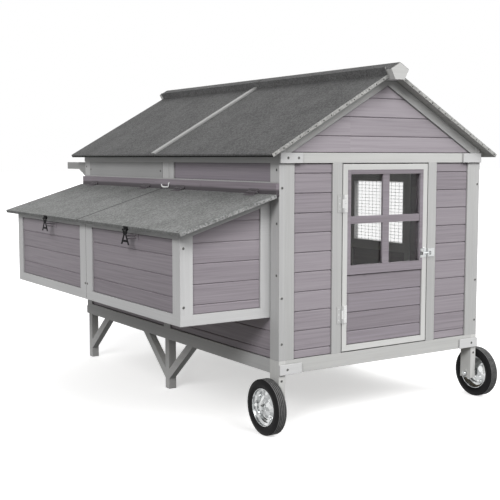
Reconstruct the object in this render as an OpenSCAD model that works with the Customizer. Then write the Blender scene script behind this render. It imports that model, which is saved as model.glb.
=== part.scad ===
// Wheeled chicken tractor: a raised timber coop on two wheels and four legs,
// with a nest box along its left side and a felted gable roof.
// X runs to the right as seen from the door, Y to the back, Z up. Millimetres.

/* [House] */
// Width over the side walls
house_w = 1000; // [900:5:1200]
// Length over the front and back walls
house_l = 1684; // [1450:2:2020]
// Height of the underside of the bottom rails above the ground
floor_z = 217; // [190:1:260]
// Height of the bottom rails
rail_h = 51; // [40:1:60]
// Height of the wall field between bottom rails and tie beams
wall_h = 710; // [600:1:850]
// Height of the tie beams and of the side walls' top rails
tie_h = 37; // [30:1:45]
// Thickness of the wall frames
wall_t = 28; // [24:1:34]
// Width of the side walls' posts
post_w = 56; // [46:1:66]
// Width of the end walls' corner stiles
stile_w = 38; // [30:1:46]
// Length of the cover blocks screwed over the frame corners
block_l = 98; // [80:1:110]
// Thickness of the corner blocks
block_t = 8; // [6:1:10]
// Gap between neighbouring wall panels
panel_gap = 3; // [2:0.5:5]
// Height of the panels above the nest lids
upper_h = 67; // [55:1:80]
// Height of the floor joists
joist_h = 33; // [26:1:38]
// Thickness of the floor panel
floor_t = 12; // [9:1:16]
// Height of the roost beams above the bottom rails
roost_up = 165; // [100:5:250]
// Distance of each roost bar from its side wall
roost_in = 350; // [280:5:420]
// Length of the roost cleat on the back wall
cleat_l = 400; // [360:10:460]

/* [Cladding] */
// Visible height of one plank
board_pitch = 71.4; // [60:0.2:86]
// Plank thickness
board_t = 12; // [10:1:14]
// Depth of the planks behind the frame's face
board_inset = 6; // [4:1:8]
// Chamfer along each plank edge, which makes the V groove
board_chamfer = 3; // [2:0.5:4]
// Height of the first plank joint above the bottom rail
first_joint = 30; // [15:1:60]

/* [Roof] */
// Roof pitch in degrees
roof_pitch = 29.5; // [25:0.5:33]
// Thickness of the roof and lid decks
deck_t = 10; // [8:1:14]
// Thickness of the mineral felt
felt_t = 3; // [2:0.5:4]
// Overhang of the roof beyond the side walls
eave_out = 58; // [40:1:75]
// Overhang of the roof beyond the end walls
gable_out = 38; // [25:1:60]
// Width of the rake boards, square to the slope
rake_w = 37; // [30:1:45]
// Distance of the rakes' inner foot from the side faces
rake_foot = 51; // [44:1:60]
// Depth of the ridge beam's seat below the rakes' apex
ridge_seat = 25; // [18:1:30]
// Half width of the ridge beam's flat underside
ridge_foot = 22; // [16:1:26]
// Height of the ridge beam's slanted sides
ridge_side = 37; // [30:1:44]
// Overhang of the ridge beam beyond the end walls
ridge_out = 66; // [45:1:80]
// Width of the battens over the roof seams
batten_w = 28; // [20:1:36]
// Thickness of the battens over the roof seams
batten_t = 8; // [6:1:12]

/* [Door] */
// Door width
door_w = 424; // [360:2:500]
// Gap all round the door
door_gap = 4; // [3:0.5:6]
// Width of the posts beside the door
door_post = 44; // [36:1:52]
// Width of the door's outer frame
door_frame_w = 22; // [18:1:28]
// Thickness of the door
door_t = 24; // [20:1:28]
// Width of the frame round the window
sash_w = 16; // [14:1:20]
// Height of the window opening
window_h = 342; // [280:2:380]
// Height of the sill under the window
sill_h = 34; // [26:1:42]
// Width of the upright window bar
mullion_w = 32; // [24:1:40]
// Height of the cross window bar
transom_h = 28; // [20:1:34]
// Thickness of the window bars
bar_t = 10; // [8:1:12]
// Thickness of the clear window sheet
pane_t = 3; // [2:0.5:4]

/* [Nest box] */
// Depth of the nest box from the house wall
nest_d = 371; // [310:1:420]
// Height of the nest box floor's underside
nest_z = 421; // [380:1:450]
// Height of the nest box's bottom rails
nest_rail_h = 38; // [30:1:46]
// Width of the sloping rail along the top of each nest end
nest_top_w = 30; // [24:1:36]
// Height of the nest front's top rail below the lid
nest_front_top = 27; // [22:1:34]
// Width of the end stile beside the nest corner
nest_corner_w = 50; // [40:1:58]
// Width of the end stile beside the house wall
nest_wall_w = 42; // [34:1:50]
// Width of each stile at the middle of the nest front
nest_mid_w = 60; // [50:1:72]
// Width of the nest front's outer stiles
nest_side_w = 26; // [20:1:34]
// Thickness of the nest box's floor and dividers
nest_sheet_t = 12; // [9:1:15]
// Height of the nest dividers
divider_h = 200; // [160:1:230]
// Height of the house wall's rail behind the nest floor
nest_sill_h = 49; // [36:1:60]
// Height of the first plank joint above the nest front's bottom
nest_front_joint = 95; // [60:1:110]
// Height of the first plank joint above the nest ends' bottom
nest_end_joint = 69; // [60:1:110]

/* [Lids] */
// Slope of the lids in degrees
lid_pitch = 17; // [13:0.5:19]
// Height of the lids' upper back edge
lid_top_z = 868; // [850:1:890]
// Gap between the lids' upper back edge and the house wall
lid_wall_gap = 19; // [18:0.5:24]
// Overhang of the lids in front of the nest box
lid_front_out = 37; // [25:1:46]
// Overhang of the lids beyond the nest ends
lid_end_out = 64; // [40:1:75]
// Gap between the two lids, and between the roof panels under their battens
lid_gap = 4; // [2:0.5:6]
// Distance of each lid hinge from the lid's end
lid_hinge_in = 150; // [100:5:200]
// Thickness of the rail that carries the lid hinges
hinge_rail_t = 14; // [12:1:16]
// Depth of the hinge rail below the lids' upper edge
hinge_rail_drop = 6; // [4:0.5:7]
// Height of the lid hinges' narrow wall leaves
lid_leaf = 13; // [10:0.5:20]
// Clearance between a closed lid and the nest box
lid_rest = 0.3; // [0.2:0.1:1]
// Distance of the front hasp from the house front
front_hasp_y = 398; // [300:1:500]
// Distance of the rear hasp from the house front
rear_hasp_y = 1188; // [1100:1:1350]

/* [Side windows] */
// Length of each wire mesh window
mesh_l = 363; // [300:1:400]
// Height of each wire mesh window
mesh_h = 298; // [240:1:320]
// Height of the mesh windows' lower edge above the bottom rail
mesh_sill = 335; // [250:1:380]
// Distance of each mesh window from the middle post
mesh_from_post = 37; // [28:1:60]
// Mesh gaps along the window
mesh_cols = 14; // [8:1:15]
// Mesh gaps up the window
mesh_rows = 20; // [8:1:20]
// Wire thickness
wire_t = 1.4; // [1:0.1:2]

/* [Running gear] */
// Wheel radius
wheel_r = 102; // [85:1:120]
// Tyre width
tyre_w = 45; // [38:1:54]
// Radius of the wheel rim
rim_r = 69; // [58:1:78]
// Radius of the wheel hub
hub_r = 13; // [11:0.5:16]
// Radius of the wheel axle bolt
axle_r = 6; // [5:0.5:8]
// Distance of the wheel axles behind the house front
axle_y = 26; // [20:1:36]
// Length of the wood below the axle in the wheel legs
leg_below = 18; // [14:1:26]
// Gap between a wheel leg and its tyre
wheel_gap = 12; // [8:1:20]
// Side of the square ground legs
leg_w = 34; // [28:1:40]
// Reach of a leg brace along the bottom rail
brace_reach = 205; // [150:5:240]
// Height of the lower end of a leg brace
brace_foot = 44; // [30:1:70]

/* [Handles] */
// Reach of the lifting handles behind the house
handle_l = 226; // [160:2:260]
// Height of the handle bars' cross-section
handle_h = 34; // [28:1:40]
// Reach of the gusset under each handle
gusset_l = 77; // [50:1:100]
// Height of the gusset under each handle
gusset_h = 36; // [26:1:50]

/* [Fittings] */
// Length of the butt hinges
hinge_l = 66; // [44:1:72]
// Width of one hinge leaf
hinge_leaf = 24; // [16:1:28]
// Radius of the hinge knuckles
knuckle_r = 4; // [3.5:0.1:5]
// Radius of the hinge pins
pin_r = 2; // [1.6:0.1:2.4]
// Thickness of the pressed steel fittings
plate_t = 1.5; // [1:0.1:2]
// Length of the hanging hasp straps
hasp_l = 54; // [48:1:70]
// Width of the hasps at the hinge
hasp_w = 36; // [30:1:44]
// Width across the hasps' spread feet
hasp_foot = 66; // [50:1:76]
// Width of a hasp's legs
hasp_leg = 9; // [7:0.5:11]
// Radius of the door bolt
bolt_r = 4; // [3:0.5:5]
// Travel of the door bolt
bolt_travel = 14; // [10:1:16]
// Height of the door bolt above the bottom rail
bolt_up = 355; // [200:1:420]
// Heights of the door hinges above the bottom rail
door_hinge_low = 145; // [80:5:200]
door_hinge_high = 560; // [400:5:620]
// Height of the first plank joint above the bottom rail in the door
door_joint = 77; // [50:1:110]
// Height of the first plank joint above the tie beams in the gables
gable_joint = 61; // [40:1:90]

/* [Hidden] */
$fn = 48;
// Radial clearance of pins and shafts, gap between moving pieces, hairline gap between
// timbers that butt together, and the narrowest strip that a plank is cut to
fit = 0.05;
run_gap = 0.3;
joint = 0.2;
min_strip = 12;

// Levels and places in the house's own frame, whose origin is the front left corner on the ground
rail_top = floor_z + rail_h;
tie_z = rail_top + wall_h;
wall_top = tie_z + tie_h;
mid_x = house_w / 2;
mid_y = house_l / 2;
field_y = [post_w, mid_y - post_w / 2];
first_line = rail_top + first_joint;
opening_w = door_w + 2 * door_gap;
door_x = mid_x - door_w / 2;
door_z = [rail_top + door_gap, tie_z - door_gap];
post_x = mid_x - opening_w / 2;
end_field = [wall_t + stile_w, post_x - door_post];

// Roof lines: the slope runs through the inner top edge of the side walls' top rails
slope = tan(roof_pitch);
rake_rise = rake_w / cos(roof_pitch);
rake_apex = wall_top + (mid_x - rake_foot) * slope;
under_apex = rake_apex + rake_rise;
ridge_half = ridge_foot + ridge_side * slope;
ridge_z = under_apex - ridge_seat;
ridge_top = ridge_z + ridge_side + ridge_half * slope;
seat_x = mid_x - ridge_seat / slope;
roof_t = deck_t + felt_t;
panel_top = ridge_foot * cos(roof_pitch) + ridge_seat * sin(roof_pitch);
panel_end = (mid_x + eave_out - roof_t * sin(roof_pitch)) / cos(roof_pitch);

// Nest box and lid lines, seen from the front
nest_y = [post_w, house_l - post_w];
nest_in_y = [nest_y[0] + wall_t, nest_y[1] - wall_t];
lid_slope = tan(lid_pitch);
lid_axis_up = knuckle_r + run_gap;
lid_under_z = lid_top_z - roof_t / cos(lid_pitch) + lid_wall_gap * lid_slope;
upper_z = tie_z - upper_h;
header_z = lid_top_z - lid_axis_up;
hinge_rail_z = [lid_top_z - hinge_rail_drop, upper_z - lid_axis_up];
lid_len = (nest_d + lid_front_out - lid_wall_gap) / cos(lid_pitch);
lid_axis = [-lid_wall_gap - lid_axis_up * sin(lid_pitch), lid_top_z + lid_axis_up * cos(lid_pitch)];
lid_spans = [[nest_y[0] - lid_end_out, mid_y - lid_gap / 2], [mid_y + lid_gap / 2, nest_y[1] + lid_end_out]];

// Hasp pivot, just outside the lower front edge of a lid
hasp_out = knuckle_r + plate_t + run_gap;
hasp_axis = [
    -nest_d - lid_front_out + roof_t * sin(lid_pitch) - hasp_out * cos(lid_pitch),
    lid_top_z - (nest_d + lid_front_out - lid_wall_gap) * lid_slope
        - roof_t * cos(lid_pitch) - hasp_out * sin(lid_pitch)
];
hasp_ys = [front_hasp_y, rear_hasp_y];
strap_t = 2;
hasp_tab = 11;
hasp_neck = 11;
hasp_waist = 17;
hasp_bridge = 2;
hasp_bar = 8;
staple_r = 2;
staple_h = 14;

// Side windows and right wall
window_z = [rail_top + mesh_sill, rail_top + mesh_sill + mesh_h];
window_y = [field_y[1] - mesh_from_post - mesh_l, field_y[1] - mesh_from_post];
bay_stile = 28;
bay_rail = 30;

// Wheels and door fittings
wheel_x = wheel_gap + tyre_w / 2;
hub_in = 2.5;
hub_half = tyre_w / 2 - hub_in;
axle_head = 8;
axle_nut = 10;
axle_end = 4;
nut_r = 10.5;
spacer_wall = 4;
spacer_l = wheel_x - hub_half - run_gap;
axle_reach = wheel_x + hub_half + run_gap + axle_head;
bolt_z = rail_top + bolt_up;
bolt_y = -9;
guide_x = [mid_x + door_w / 2 - 33, mid_x + door_w / 2 - 1];
guide_bridge = 5;
knob_r = 2.5;
door_axis = [post_x + door_gap / 2, -knuckle_r - run_gap];
door_hinge_z = [rail_top + door_hinge_low, rail_top + door_hinge_high];

// Offset that puts the origin at the bottom centre of the whole coop
x_low = hasp_axis[0] - knuckle_r;
x_high = house_w + max(axle_reach, eave_out);
y_low = min(axle_y - wheel_r, -ridge_out);
y_high = house_l + max(handle_l, ridge_out);
origin_shift = [-(x_low + x_high) / 2, -(y_low + y_high) / 2, 0];

light_paint = "#c8c8c6";
white_paint = "#ebebeb";
board_paint = "#968d94";
felt_grey = "#6b6b6b";
zinc = "#d4d6d6";
black_steel = "#1c1b1d";
bare_wood = "#cbb592";

// A timber between two corners
module block(low, high) translate(low) cube(high - low);

// Copies at the left side and, mirrored, at the right side
module both_sides() {
    children();
    translate([house_w, 0, 0]) mirror([1, 0, 0]) children();
}

// Copies at the front end and, mirrored, at the back end
module both_ends() {
    children();
    translate([0, house_l, 0]) mirror([0, 1, 0]) children();
}

// An outline in X and Z, running from y0 to y1
module along_y(y0, y1) translate([0, y1, 0]) rotate([90, 0, 0]) linear_extrude(y1 - y0) children();

// An outline in Y and Z, running from x0 to x1
module along_x(x0, x1) translate([x0, 0, 0]) rotate([90, 0, 90]) linear_extrude(x1 - x0) children();

// One plank along X from x0 to x1 with its outside, chamfered, at y = 0
module plank(x0, x1, z0, z1) along_x(x0, x1) polygon([
    [board_chamfer, z0], [board_t, z0], [board_t, z1], [board_chamfer, z1],
    [0, z1 - board_chamfer], [0, z0 + board_chamfer]
]);

// Edges of the planks that fill a height, joints included
function plank_edges(z0, z1, line) = concat([z0], [
    for (k = [-12:20])
        let (z = line + k * board_pitch)
        if (z > z0 + min_strip && z < z1 - min_strip) z
], [z1]);

// Planks filling a field, outside at y = 0
module planks(x0, x1, z0, z1, line = first_line) {
    edges = plank_edges(z0, z1, line);
    last = len(edges) - 2;
    for (i = [0:last]) plank(x0, x1, edges[i], edges[i + 1] - (i < last ? joint : 0));
}

// Planks on a wall that faces left, from y0 to y1, set back from the face at x
module planks_left(x, y0, y1, z0, z1, line = first_line)
    translate([x, 0, 0]) rotate([0, 0, -90]) planks(-y1, -y0, z0, z1, line);

module planks_front(x0, x1, z0, z1, line = first_line)
    translate([0, board_inset, 0]) planks(x0, x1, z0, z1, line);

// A flat panel on the left roof slope: u down the slope from the apex, n above the underside
module on_slope(u0, u1, n0, n1, y0, y1)
    translate([mid_x, 0, under_apex + fit]) rotate([0, -roof_pitch, 0])
        block([-u1, y0, n0], [-u0 - fit, y1, n1]);

// A flat panel on the nest lids' slope, measured from the lids' upper back edge
module on_lid(u0, u1, n0, n1, y0, y1)
    translate([-lid_wall_gap, 0, lid_top_z]) rotate([0, -lid_pitch, 0])
        block([-u1, y0, n0], [-u0, y1, n1]);

// Height of the nest box's top edge, just under the closed lids
function nest_top(x) = lid_under_z + x * lid_slope - lid_rest;

// End walls
module end_rails() {
    block([wall_t, 0, floor_z], [house_w - wall_t, wall_t, rail_top]);
    block([wall_t, 0, tie_z], [house_w - wall_t, wall_t, wall_top]);
}

module corner_stiles()
    both_sides() block([wall_t, 0, rail_top], [wall_t + stile_w, wall_t, tie_z]);

module front_rails() color(light_paint) end_rails();

module front_posts() color(light_paint) {
    corner_stiles();
    both_sides() block([post_x - door_post, 0, rail_top], [post_x, wall_t, tie_z]);
}

module front_boards() color(board_paint) both_sides()
    planks_front(end_field[0], end_field[1], rail_top, tie_z);

module back_rails() color(light_paint) translate([0, house_l - wall_t, 0]) end_rails();

module back_posts() color(light_paint) translate([0, house_l - wall_t, 0]) {
    corner_stiles();
    block([mid_x - door_post / 2, 0, rail_top], [mid_x + door_post / 2, wall_t, tie_z]);
}

module back_boards() color(board_paint) both_sides()
    translate([0, house_l, 0]) mirror([0, 1, 0])
        planks_front(end_field[0], mid_x - door_post / 2, rail_top, tie_z);

module gable_boards() color(board_paint) both_ends() intersection() {
    planks_front(rake_foot, house_w - rake_foot, wall_top, rake_apex, wall_top + gable_joint);
    along_y(0, wall_t) polygon([
        [rake_foot, wall_top], [house_w - rake_foot, wall_top], [mid_x, rake_apex]
    ]);
}

// Half of a gable's rake, or of the middle rafter, from the top rail to the ridge seat
module rafter_outline(foot) polygon(concat(foot, [
    [mid_x - joint / 2, rake_apex - joint / 2 * slope], [mid_x - joint / 2, ridge_z], [seat_x, ridge_z],
    [wall_t, under_apex - (mid_x - wall_t) * slope]
]));

module rake_boards() color(light_paint) both_ends() both_sides()
    along_y(0, wall_t) rafter_outline([[wall_t, wall_top], [rake_foot, wall_top]]);

module mid_rafters() color(bare_wood) both_sides()
    along_y(mid_y - wall_t / 2, mid_y + wall_t / 2)
        rafter_outline([[wall_t, rake_apex - (mid_x - wall_t) * slope]]);

module corner_blocks() color(light_paint) both_ends() both_sides()
    for (z = [floor_z, tie_z]) block([0, -block_t, z], [block_l, 0, z + tie_h]);

// Side walls
module side_top_rail() along_y(0, house_l) polygon([
    [0, tie_z], [wall_t, tie_z],
    [wall_t, under_apex - (mid_x - wall_t) * slope], [0, under_apex - mid_x * slope]
]);

module side_posts() {
    for (y = [0, mid_y - post_w / 2, house_l - post_w])
        block([0, y, rail_top + joint], [wall_t, y + post_w, tie_z - joint]);
    block([0, post_w, floor_z], [wall_t, house_l, rail_top]);
    side_top_rail();
}

// Stile at the end of the front upper panel, a panel gap before the middle post
upper_stile_y = [field_y[1] - panel_gap - stile_w, field_y[1] - panel_gap];

module left_frame() color(light_paint) {
    side_posts();
    both_ends() {
        for (z = [[nest_z, nest_z + nest_sill_h], [header_z, upper_z]])
            block([0, field_y[0] + joint, z[0]], [wall_t, field_y[1] - joint, z[1]]);
    }
    block([0, upper_stile_y[0], upper_z + joint], [wall_t, upper_stile_y[1], tie_z - joint]);
}

module left_boards() color(board_paint) both_ends()
    planks_left(board_inset, field_y[0], field_y[1], rail_top, nest_z);

module left_upper_panel() color(board_paint)
    block([board_inset, field_y[0], upper_z], [board_inset + board_t, upper_stile_y[0], tie_z]);

module left_vent_cover() color(light_paint)
    block([0, house_l - field_y[1] + panel_gap, upper_z], [board_t, house_l - field_y[0], tie_z]);

module lid_hinge_rail() color(board_paint)
    block([-hinge_rail_t, 0, hinge_rail_z[0]], [0, house_l, hinge_rail_z[1]]);

module right_frame() color(light_paint) translate([house_w, 0, 0]) mirror([1, 0, 0]) {
    side_posts();
    both_ends() {
        for (y = [[window_y[0] - bay_stile, window_y[0]], [window_y[1], field_y[1] - joint]])
            block([0, y[0], rail_top + joint], [wall_t, y[1], tie_z - joint]);
        for (z = [window_z[0] - bay_rail, window_z[1]])
            block([0, window_y[0] + joint, z], [wall_t, window_y[1] - joint, z + bay_rail]);
    }
}

module right_boards() color(board_paint) translate([house_w, 0, 0]) mirror([1, 0, 0]) both_ends() {
    planks_left(board_inset, field_y[0], window_y[0] - bay_stile, rail_top, tie_z);
    planks_left(board_inset, window_y[0], window_y[1], rail_top, window_z[0] - bay_rail);
    planks_left(board_inset, window_y[0], window_y[1], window_z[1] + bay_rail, tie_z);
}

// Wire mesh in each side window, held by beads against the frame
bead = 12;
mesh_x = house_w - wall_t + bead;

module right_window_frames() color(light_paint) both_ends()
    for (x = [house_w - wall_t, mesh_x + wire_t]) {
        for (z = [window_z[0], window_z[1] - bead])
            block([x, window_y[0], z], [x + bead, window_y[1], z + bead]);
        for (y = [window_y[0], window_y[1] - bead])
            block([x, y, window_z[0] + bead + joint], [x + bead, y + bead, window_z[1] - bead - joint]);
    }

module right_window_mesh() color(zinc) both_ends() {
    pitch_y = (mesh_l - wire_t) / mesh_cols;
    pitch_z = (mesh_h - wire_t) / mesh_rows;
    along_x(mesh_x, mesh_x + wire_t) difference() {
        translate([window_y[0], window_z[0]]) square([mesh_l, mesh_h]);
        for (i = [0:mesh_cols - 1], k = [0:mesh_rows - 1])
            translate([window_y[0] + wire_t + i * pitch_y, window_z[0] + wire_t + k * pitch_z])
                square([pitch_y - wire_t, pitch_z - wire_t]);
    }
}

// Floor and roosts
module floor_joists() color(bare_wood)
    for (y = [house_l / 6, mid_y, house_l * 5 / 6])
        block([wall_t, y - wall_t / 2, floor_z], [house_w - wall_t, y + wall_t / 2, floor_z + joist_h]);

module floor_panel() color(bare_wood)
    block([wall_t, wall_t, floor_z + joist_h],
          [house_w - wall_t, house_l - wall_t, floor_z + joist_h + floor_t]);

roost_beam_h = 40;
roost_z = [rail_top + roost_up, rail_top + roost_up + roost_beam_h];
roost_bar = [45, 30];

module roosts() color(bare_wood) {
    back_y = house_l - wall_t;
    block([wall_t, mid_y - wall_t / 2, roost_z[0]], [house_w - wall_t, mid_y + wall_t / 2, roost_z[1]]);
    block([mid_x - cleat_l / 2, back_y - wall_t, roost_z[0]], [mid_x + cleat_l / 2, back_y, roost_z[1]]);
    both_sides()
        block([roost_in - roost_bar[0] / 2, mid_y - wall_t / 2, roost_z[1] + joint],
              [roost_in + roost_bar[0] / 2, back_y, roost_z[1] + roost_bar[1]]);
}

// Roof
module roof_layer(n0, n1) both_ends() both_sides()
    on_slope(panel_top, panel_end, n0, n1, -gable_out, mid_y - lid_gap / 2);

module roof_decks() color(felt_grey) roof_layer(0, deck_t);

module roof_felts() color(felt_grey) {
    roof_layer(deck_t, roof_t);
    ridge_felt();
    both_sides() on_slope(panel_top, panel_top + felt_t,
                          roof_t + joint, ridge_side / cos(roof_pitch) - joint,
                          -gable_out, house_l + gable_out);
}

module roof_battens() color(light_paint) both_sides()
    on_slope(panel_top + felt_t + joint, panel_end, roof_t, roof_t + batten_t,
             mid_y - batten_w / 2, mid_y + batten_w / 2);

module ridge_beam() color(light_paint) along_y(-ridge_out, house_l + ridge_out) polygon([
    [mid_x - ridge_foot, ridge_z], [mid_x + ridge_foot, ridge_z],
    [mid_x + ridge_half, ridge_z + ridge_side], [mid_x, ridge_top],
    [mid_x - ridge_half, ridge_z + ridge_side]
]);

// The strip folded over the ridge beam's two upper faces
module ridge_felt() along_y(-ridge_out, house_l + ridge_out) polygon([
    [mid_x - ridge_half, ridge_z + ridge_side], [mid_x, ridge_top],
    [mid_x + ridge_half, ridge_z + ridge_side], [mid_x + ridge_half, ridge_z + ridge_side + felt_t],
    [mid_x, ridge_top + felt_t], [mid_x - ridge_half, ridge_z + ridge_side + felt_t]
]);

// Nest box
module nest_floor() color(bare_wood)
    block([wall_t - nest_d, nest_in_y[0], nest_z], [0, nest_in_y[1], nest_z + nest_sheet_t]);

// An upright or rail of a nest end between two X values, with its top cut to the lid's slope
module nest_end_piece(x0, x1, z0, z1) along_y(nest_y[0], nest_in_y[0])
    polygon([[x0, z0], [x1, z1], [x1, nest_top(x1)], [x0, nest_top(x0)]]);

nest_rail_top = nest_z + nest_rail_h;
nest_field_x = [nest_corner_w - nest_d, -nest_wall_w];

module nest_frames() color(light_paint) {
    both_ends() {
        nest_end_piece(-nest_d, nest_field_x[0], nest_z, nest_z);
        nest_end_piece(nest_field_x[1], 0, nest_z, nest_z);
        nest_end_piece(nest_field_x[0] + joint, nest_field_x[1] - joint,
                       nest_top(nest_field_x[0]) - nest_top_w, nest_top(nest_field_x[1]) - nest_top_w);
        block([nest_field_x[0] + joint, nest_y[0], nest_z],
              [nest_field_x[1] - joint, nest_in_y[0], nest_rail_top]);
        nest_front_half();
    }
}

nest_front_z = nest_top(-nest_d) - nest_front_top;
nest_front_y = [nest_in_y[0] + nest_side_w, mid_y - nest_mid_w];

// Stiles and rails of the front nest panel
module nest_front_half() {
    front_x = [-nest_d, wall_t - nest_d];
    panel_y = [nest_in_y[0] + joint, mid_y - panel_gap / 2];
    for (y = [[panel_y[0], nest_front_y[0]], [nest_front_y[1], panel_y[1]]])
        block([front_x[0], y[0], nest_z], [front_x[1], y[1], nest_front_z - joint]);
    block([front_x[0], nest_front_y[0] + joint, nest_z],
          [front_x[1], nest_front_y[1] - joint, nest_rail_top]);
    along_y(panel_y[0], panel_y[1]) polygon([
        [front_x[0], nest_front_z], [front_x[1], nest_front_z],
        [front_x[1], nest_top(front_x[1])], [front_x[0], nest_top(front_x[0])]
    ]);
}

module nest_boards() color(board_paint) both_ends() {
    planks_left(board_inset - nest_d, nest_front_y[0], nest_front_y[1], nest_rail_top, nest_front_z,
                nest_z + nest_front_joint);
    intersection() {
        translate([0, nest_y[0], 0])
            planks_front(nest_field_x[0], nest_field_x[1], nest_rail_top, lid_top_z,
                         nest_z + nest_end_joint);
        along_y(nest_y[0], nest_in_y[0]) polygon([
            [nest_field_x[0], nest_rail_top], [nest_field_x[1], nest_rail_top],
            [nest_field_x[1], nest_top(nest_field_x[1]) - nest_top_w - joint],
            [nest_field_x[0], nest_top(nest_field_x[0]) - nest_top_w - joint]
        ]);
    }
}

module nest_dividers() color(bare_wood) {
    quarter = (nest_in_y[1] - nest_in_y[0]) / 4;
    for (k = [1:3])
        translate([0, nest_in_y[0] + k * quarter - nest_sheet_t / 2, nest_z + nest_sheet_t])
            block([wall_t - nest_d, 0, 0], [0, nest_sheet_t, divider_h]);
}

// Butt hinges: knuckles along Z round the origin, and a flat leaf that lies below them towards -X
leaf_start = knuckle_r + 1;
leaf_y = [knuckle_r + run_gap - plate_t, knuckle_r + run_gap];
knuckle_end = hinge_l / 4;
outer_knuckles = [[-hinge_l / 2, -knuckle_end], [knuckle_end, hinge_l / 2]];
inner_knuckle = [run_gap - knuckle_end, knuckle_end - run_gap];

// A bored knuckle with the tab that ties it to its leaf
module knuckle(ends) difference() {
    union() {
        translate([0, 0, ends[0]]) cylinder(r = knuckle_r, h = ends[1] - ends[0]);
        children();
    }
    translate([0, 0, -hinge_l]) cylinder(r = pin_r + fit, h = 2 * hinge_l);
}

module flat_leaf(knuckles) {
    block([-hinge_leaf, leaf_y[0], -hinge_l / 2], [-leaf_start, leaf_y[1], hinge_l / 2]);
    for (ends = knuckles)
        knuckle(ends) block([-leaf_start, leaf_y[0], ends[0]], [0, leaf_y[1], ends[1]]);
}

module at_door_hinges() for (z = door_hinge_z) translate([door_axis[0], door_axis[1], z]) children();

// Both hinges of a lid, with the hinge's own Z laid along the house and its Y pointing down
module at_lid_hinges(span) for (y = [span[0] + lid_hinge_in, span[1] - lid_hinge_in])
    translate([lid_axis[0], y, lid_axis[1]]) rotate([-90, 0, 0]) children();

// The wall leaf of a lid hinge is bent up against the hinge rail
module lid_wall_leaf() {
    face_x = -hinge_rail_t - lid_axis[0];
    tab_y = plate_t - knuckle_r;
    block([face_x - plate_t, -lid_leaf, -hinge_l / 2], [face_x, -leaf_start, hinge_l / 2]);
    for (ends = outer_knuckles) knuckle(ends) {
        block([0, -knuckle_r, ends[0]], [face_x, tab_y, ends[1]]);
        block([face_x - plate_t, -leaf_start, ends[0]], [face_x, tab_y, ends[1]]);
    }
}

module door_hinge_plates() color(zinc) at_door_hinges() flat_leaf(outer_knuckles);

module lid_hinge_plates() color(black_steel) for (span = lid_spans) at_lid_hinges(span) lid_wall_leaf();

module hinge_pin() translate([0, 0, -hinge_l / 2]) cylinder(r = pin_r, h = hinge_l);

module hinge_pins() color(zinc) {
    at_door_hinges() hinge_pin();
    for (span = lid_spans) at_lid_hinges(span) hinge_pin();
}

// Ground legs, braces and wheel legs
back_leg_in = 18;
ground_leg_y = [mid_y - leg_w / 2, house_l - back_leg_in - leg_w];

module ground_legs() color(light_paint) both_sides()
    for (y = ground_leg_y) block([0, y, 0], [leg_w, y + leg_w, floor_z]);

// A diagonal from a leg's side up to the bottom rail, reaching towards +Y
module brace() {
    angle = atan2(floor_z - brace_foot, brace_reach);
    along_x(0, wall_t) polygon([
        [0, brace_foot], [brace_reach, floor_z],
        [brace_reach - leg_w / sin(angle), floor_z], [0, brace_foot + leg_w / cos(angle)]
    ]);
}

module leg_braces() color(light_paint) both_sides() {
    for (y = ground_leg_y) translate([0, y, 0]) mirror([0, 1, 0]) brace();
    translate([0, ground_leg_y[0] + leg_w, 0]) brace();
}

module wheel_legs() color(light_paint) both_sides() difference() {
    block([0, 0, wheel_r - leg_below], [wall_t, post_w, rail_top]);
    at_axle() translate([0, 0, -1]) cylinder(r = axle_r + fit, h = wall_t + 2);
}

// The left axle's line, from the house's side face inwards
module at_axle() translate([0, axle_y, wheel_r]) rotate([0, 90, 0]) children();

module axle_bolts() color(zinc) both_sides() at_axle() {
    shank = axle_reach - axle_head;
    translate([0, 0, -shank]) cylinder(r = axle_r, h = shank + wall_t + axle_nut + axle_end);
    translate([0, 0, -axle_reach]) cylinder(r = nut_r, h = axle_head, $fn = 6);
    difference() {
        translate([0, 0, -spacer_l]) cylinder(r = axle_r + spacer_wall, h = spacer_l);
        translate([0, 0, -wheel_x]) cylinder(r = axle_r + fit, h = 2 * wheel_x);
    }
    difference() {
        translate([0, 0, wall_t]) cylinder(r = nut_r, h = axle_nut, $fn = 6);
        cylinder(r = axle_r + fit, h = 2 * wheel_x);
    }
}

// Wheels: section outlines, with the radius first and the place along the axle second
tread_h = 6;
shoulder_in = 3;
tread_in = 6;
sidewall_bulge = 4.5;
bead_half = 16;
rib_count = 5;
shoulder_r = wheel_r - tread_h;
shoulder_half = tyre_w / 2 - shoulder_in;
tread_half = tyre_w / 2 - tread_in;
groove_w = 2.4;
groove_d = 2.5;

function sidewall(side) = [
    for (i = [0:8])
        let (t = i / 8)
        [rim_r + (shoulder_r - rim_r) * t,
         side * (bead_half + (shoulder_half - bead_half) * t + sidewall_bulge * sin(180 * t))]
];

// Ribs of the tread, from the inner edge to the outer
function tread() = [
    for (i = [0:rib_count - 1])
        let (
            pitch = (2 * tread_half + groove_w) / rib_count,
            a0 = -tread_half + i * pitch,
            a1 = a0 + pitch - groove_w
        )
        each concat(
            i > 0 ? [[wheel_r - groove_d, a0]] : [],
            [[wheel_r, a0], [wheel_r, a1]],
            i < rib_count - 1 ? [[wheel_r - groove_d, a1]] : []
        )
];

function reversed(list) = [for (i = [len(list) - 1:-1:0]) list[i]];

module at_wheel() translate([-wheel_x, axle_y, wheel_r]) rotate([0, 90, 0]) children();

module tyre() at_wheel() rotate_extrude($fn = 96)
    polygon(concat(sidewall(-1), tread(), reversed(sidewall(1))));

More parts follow.
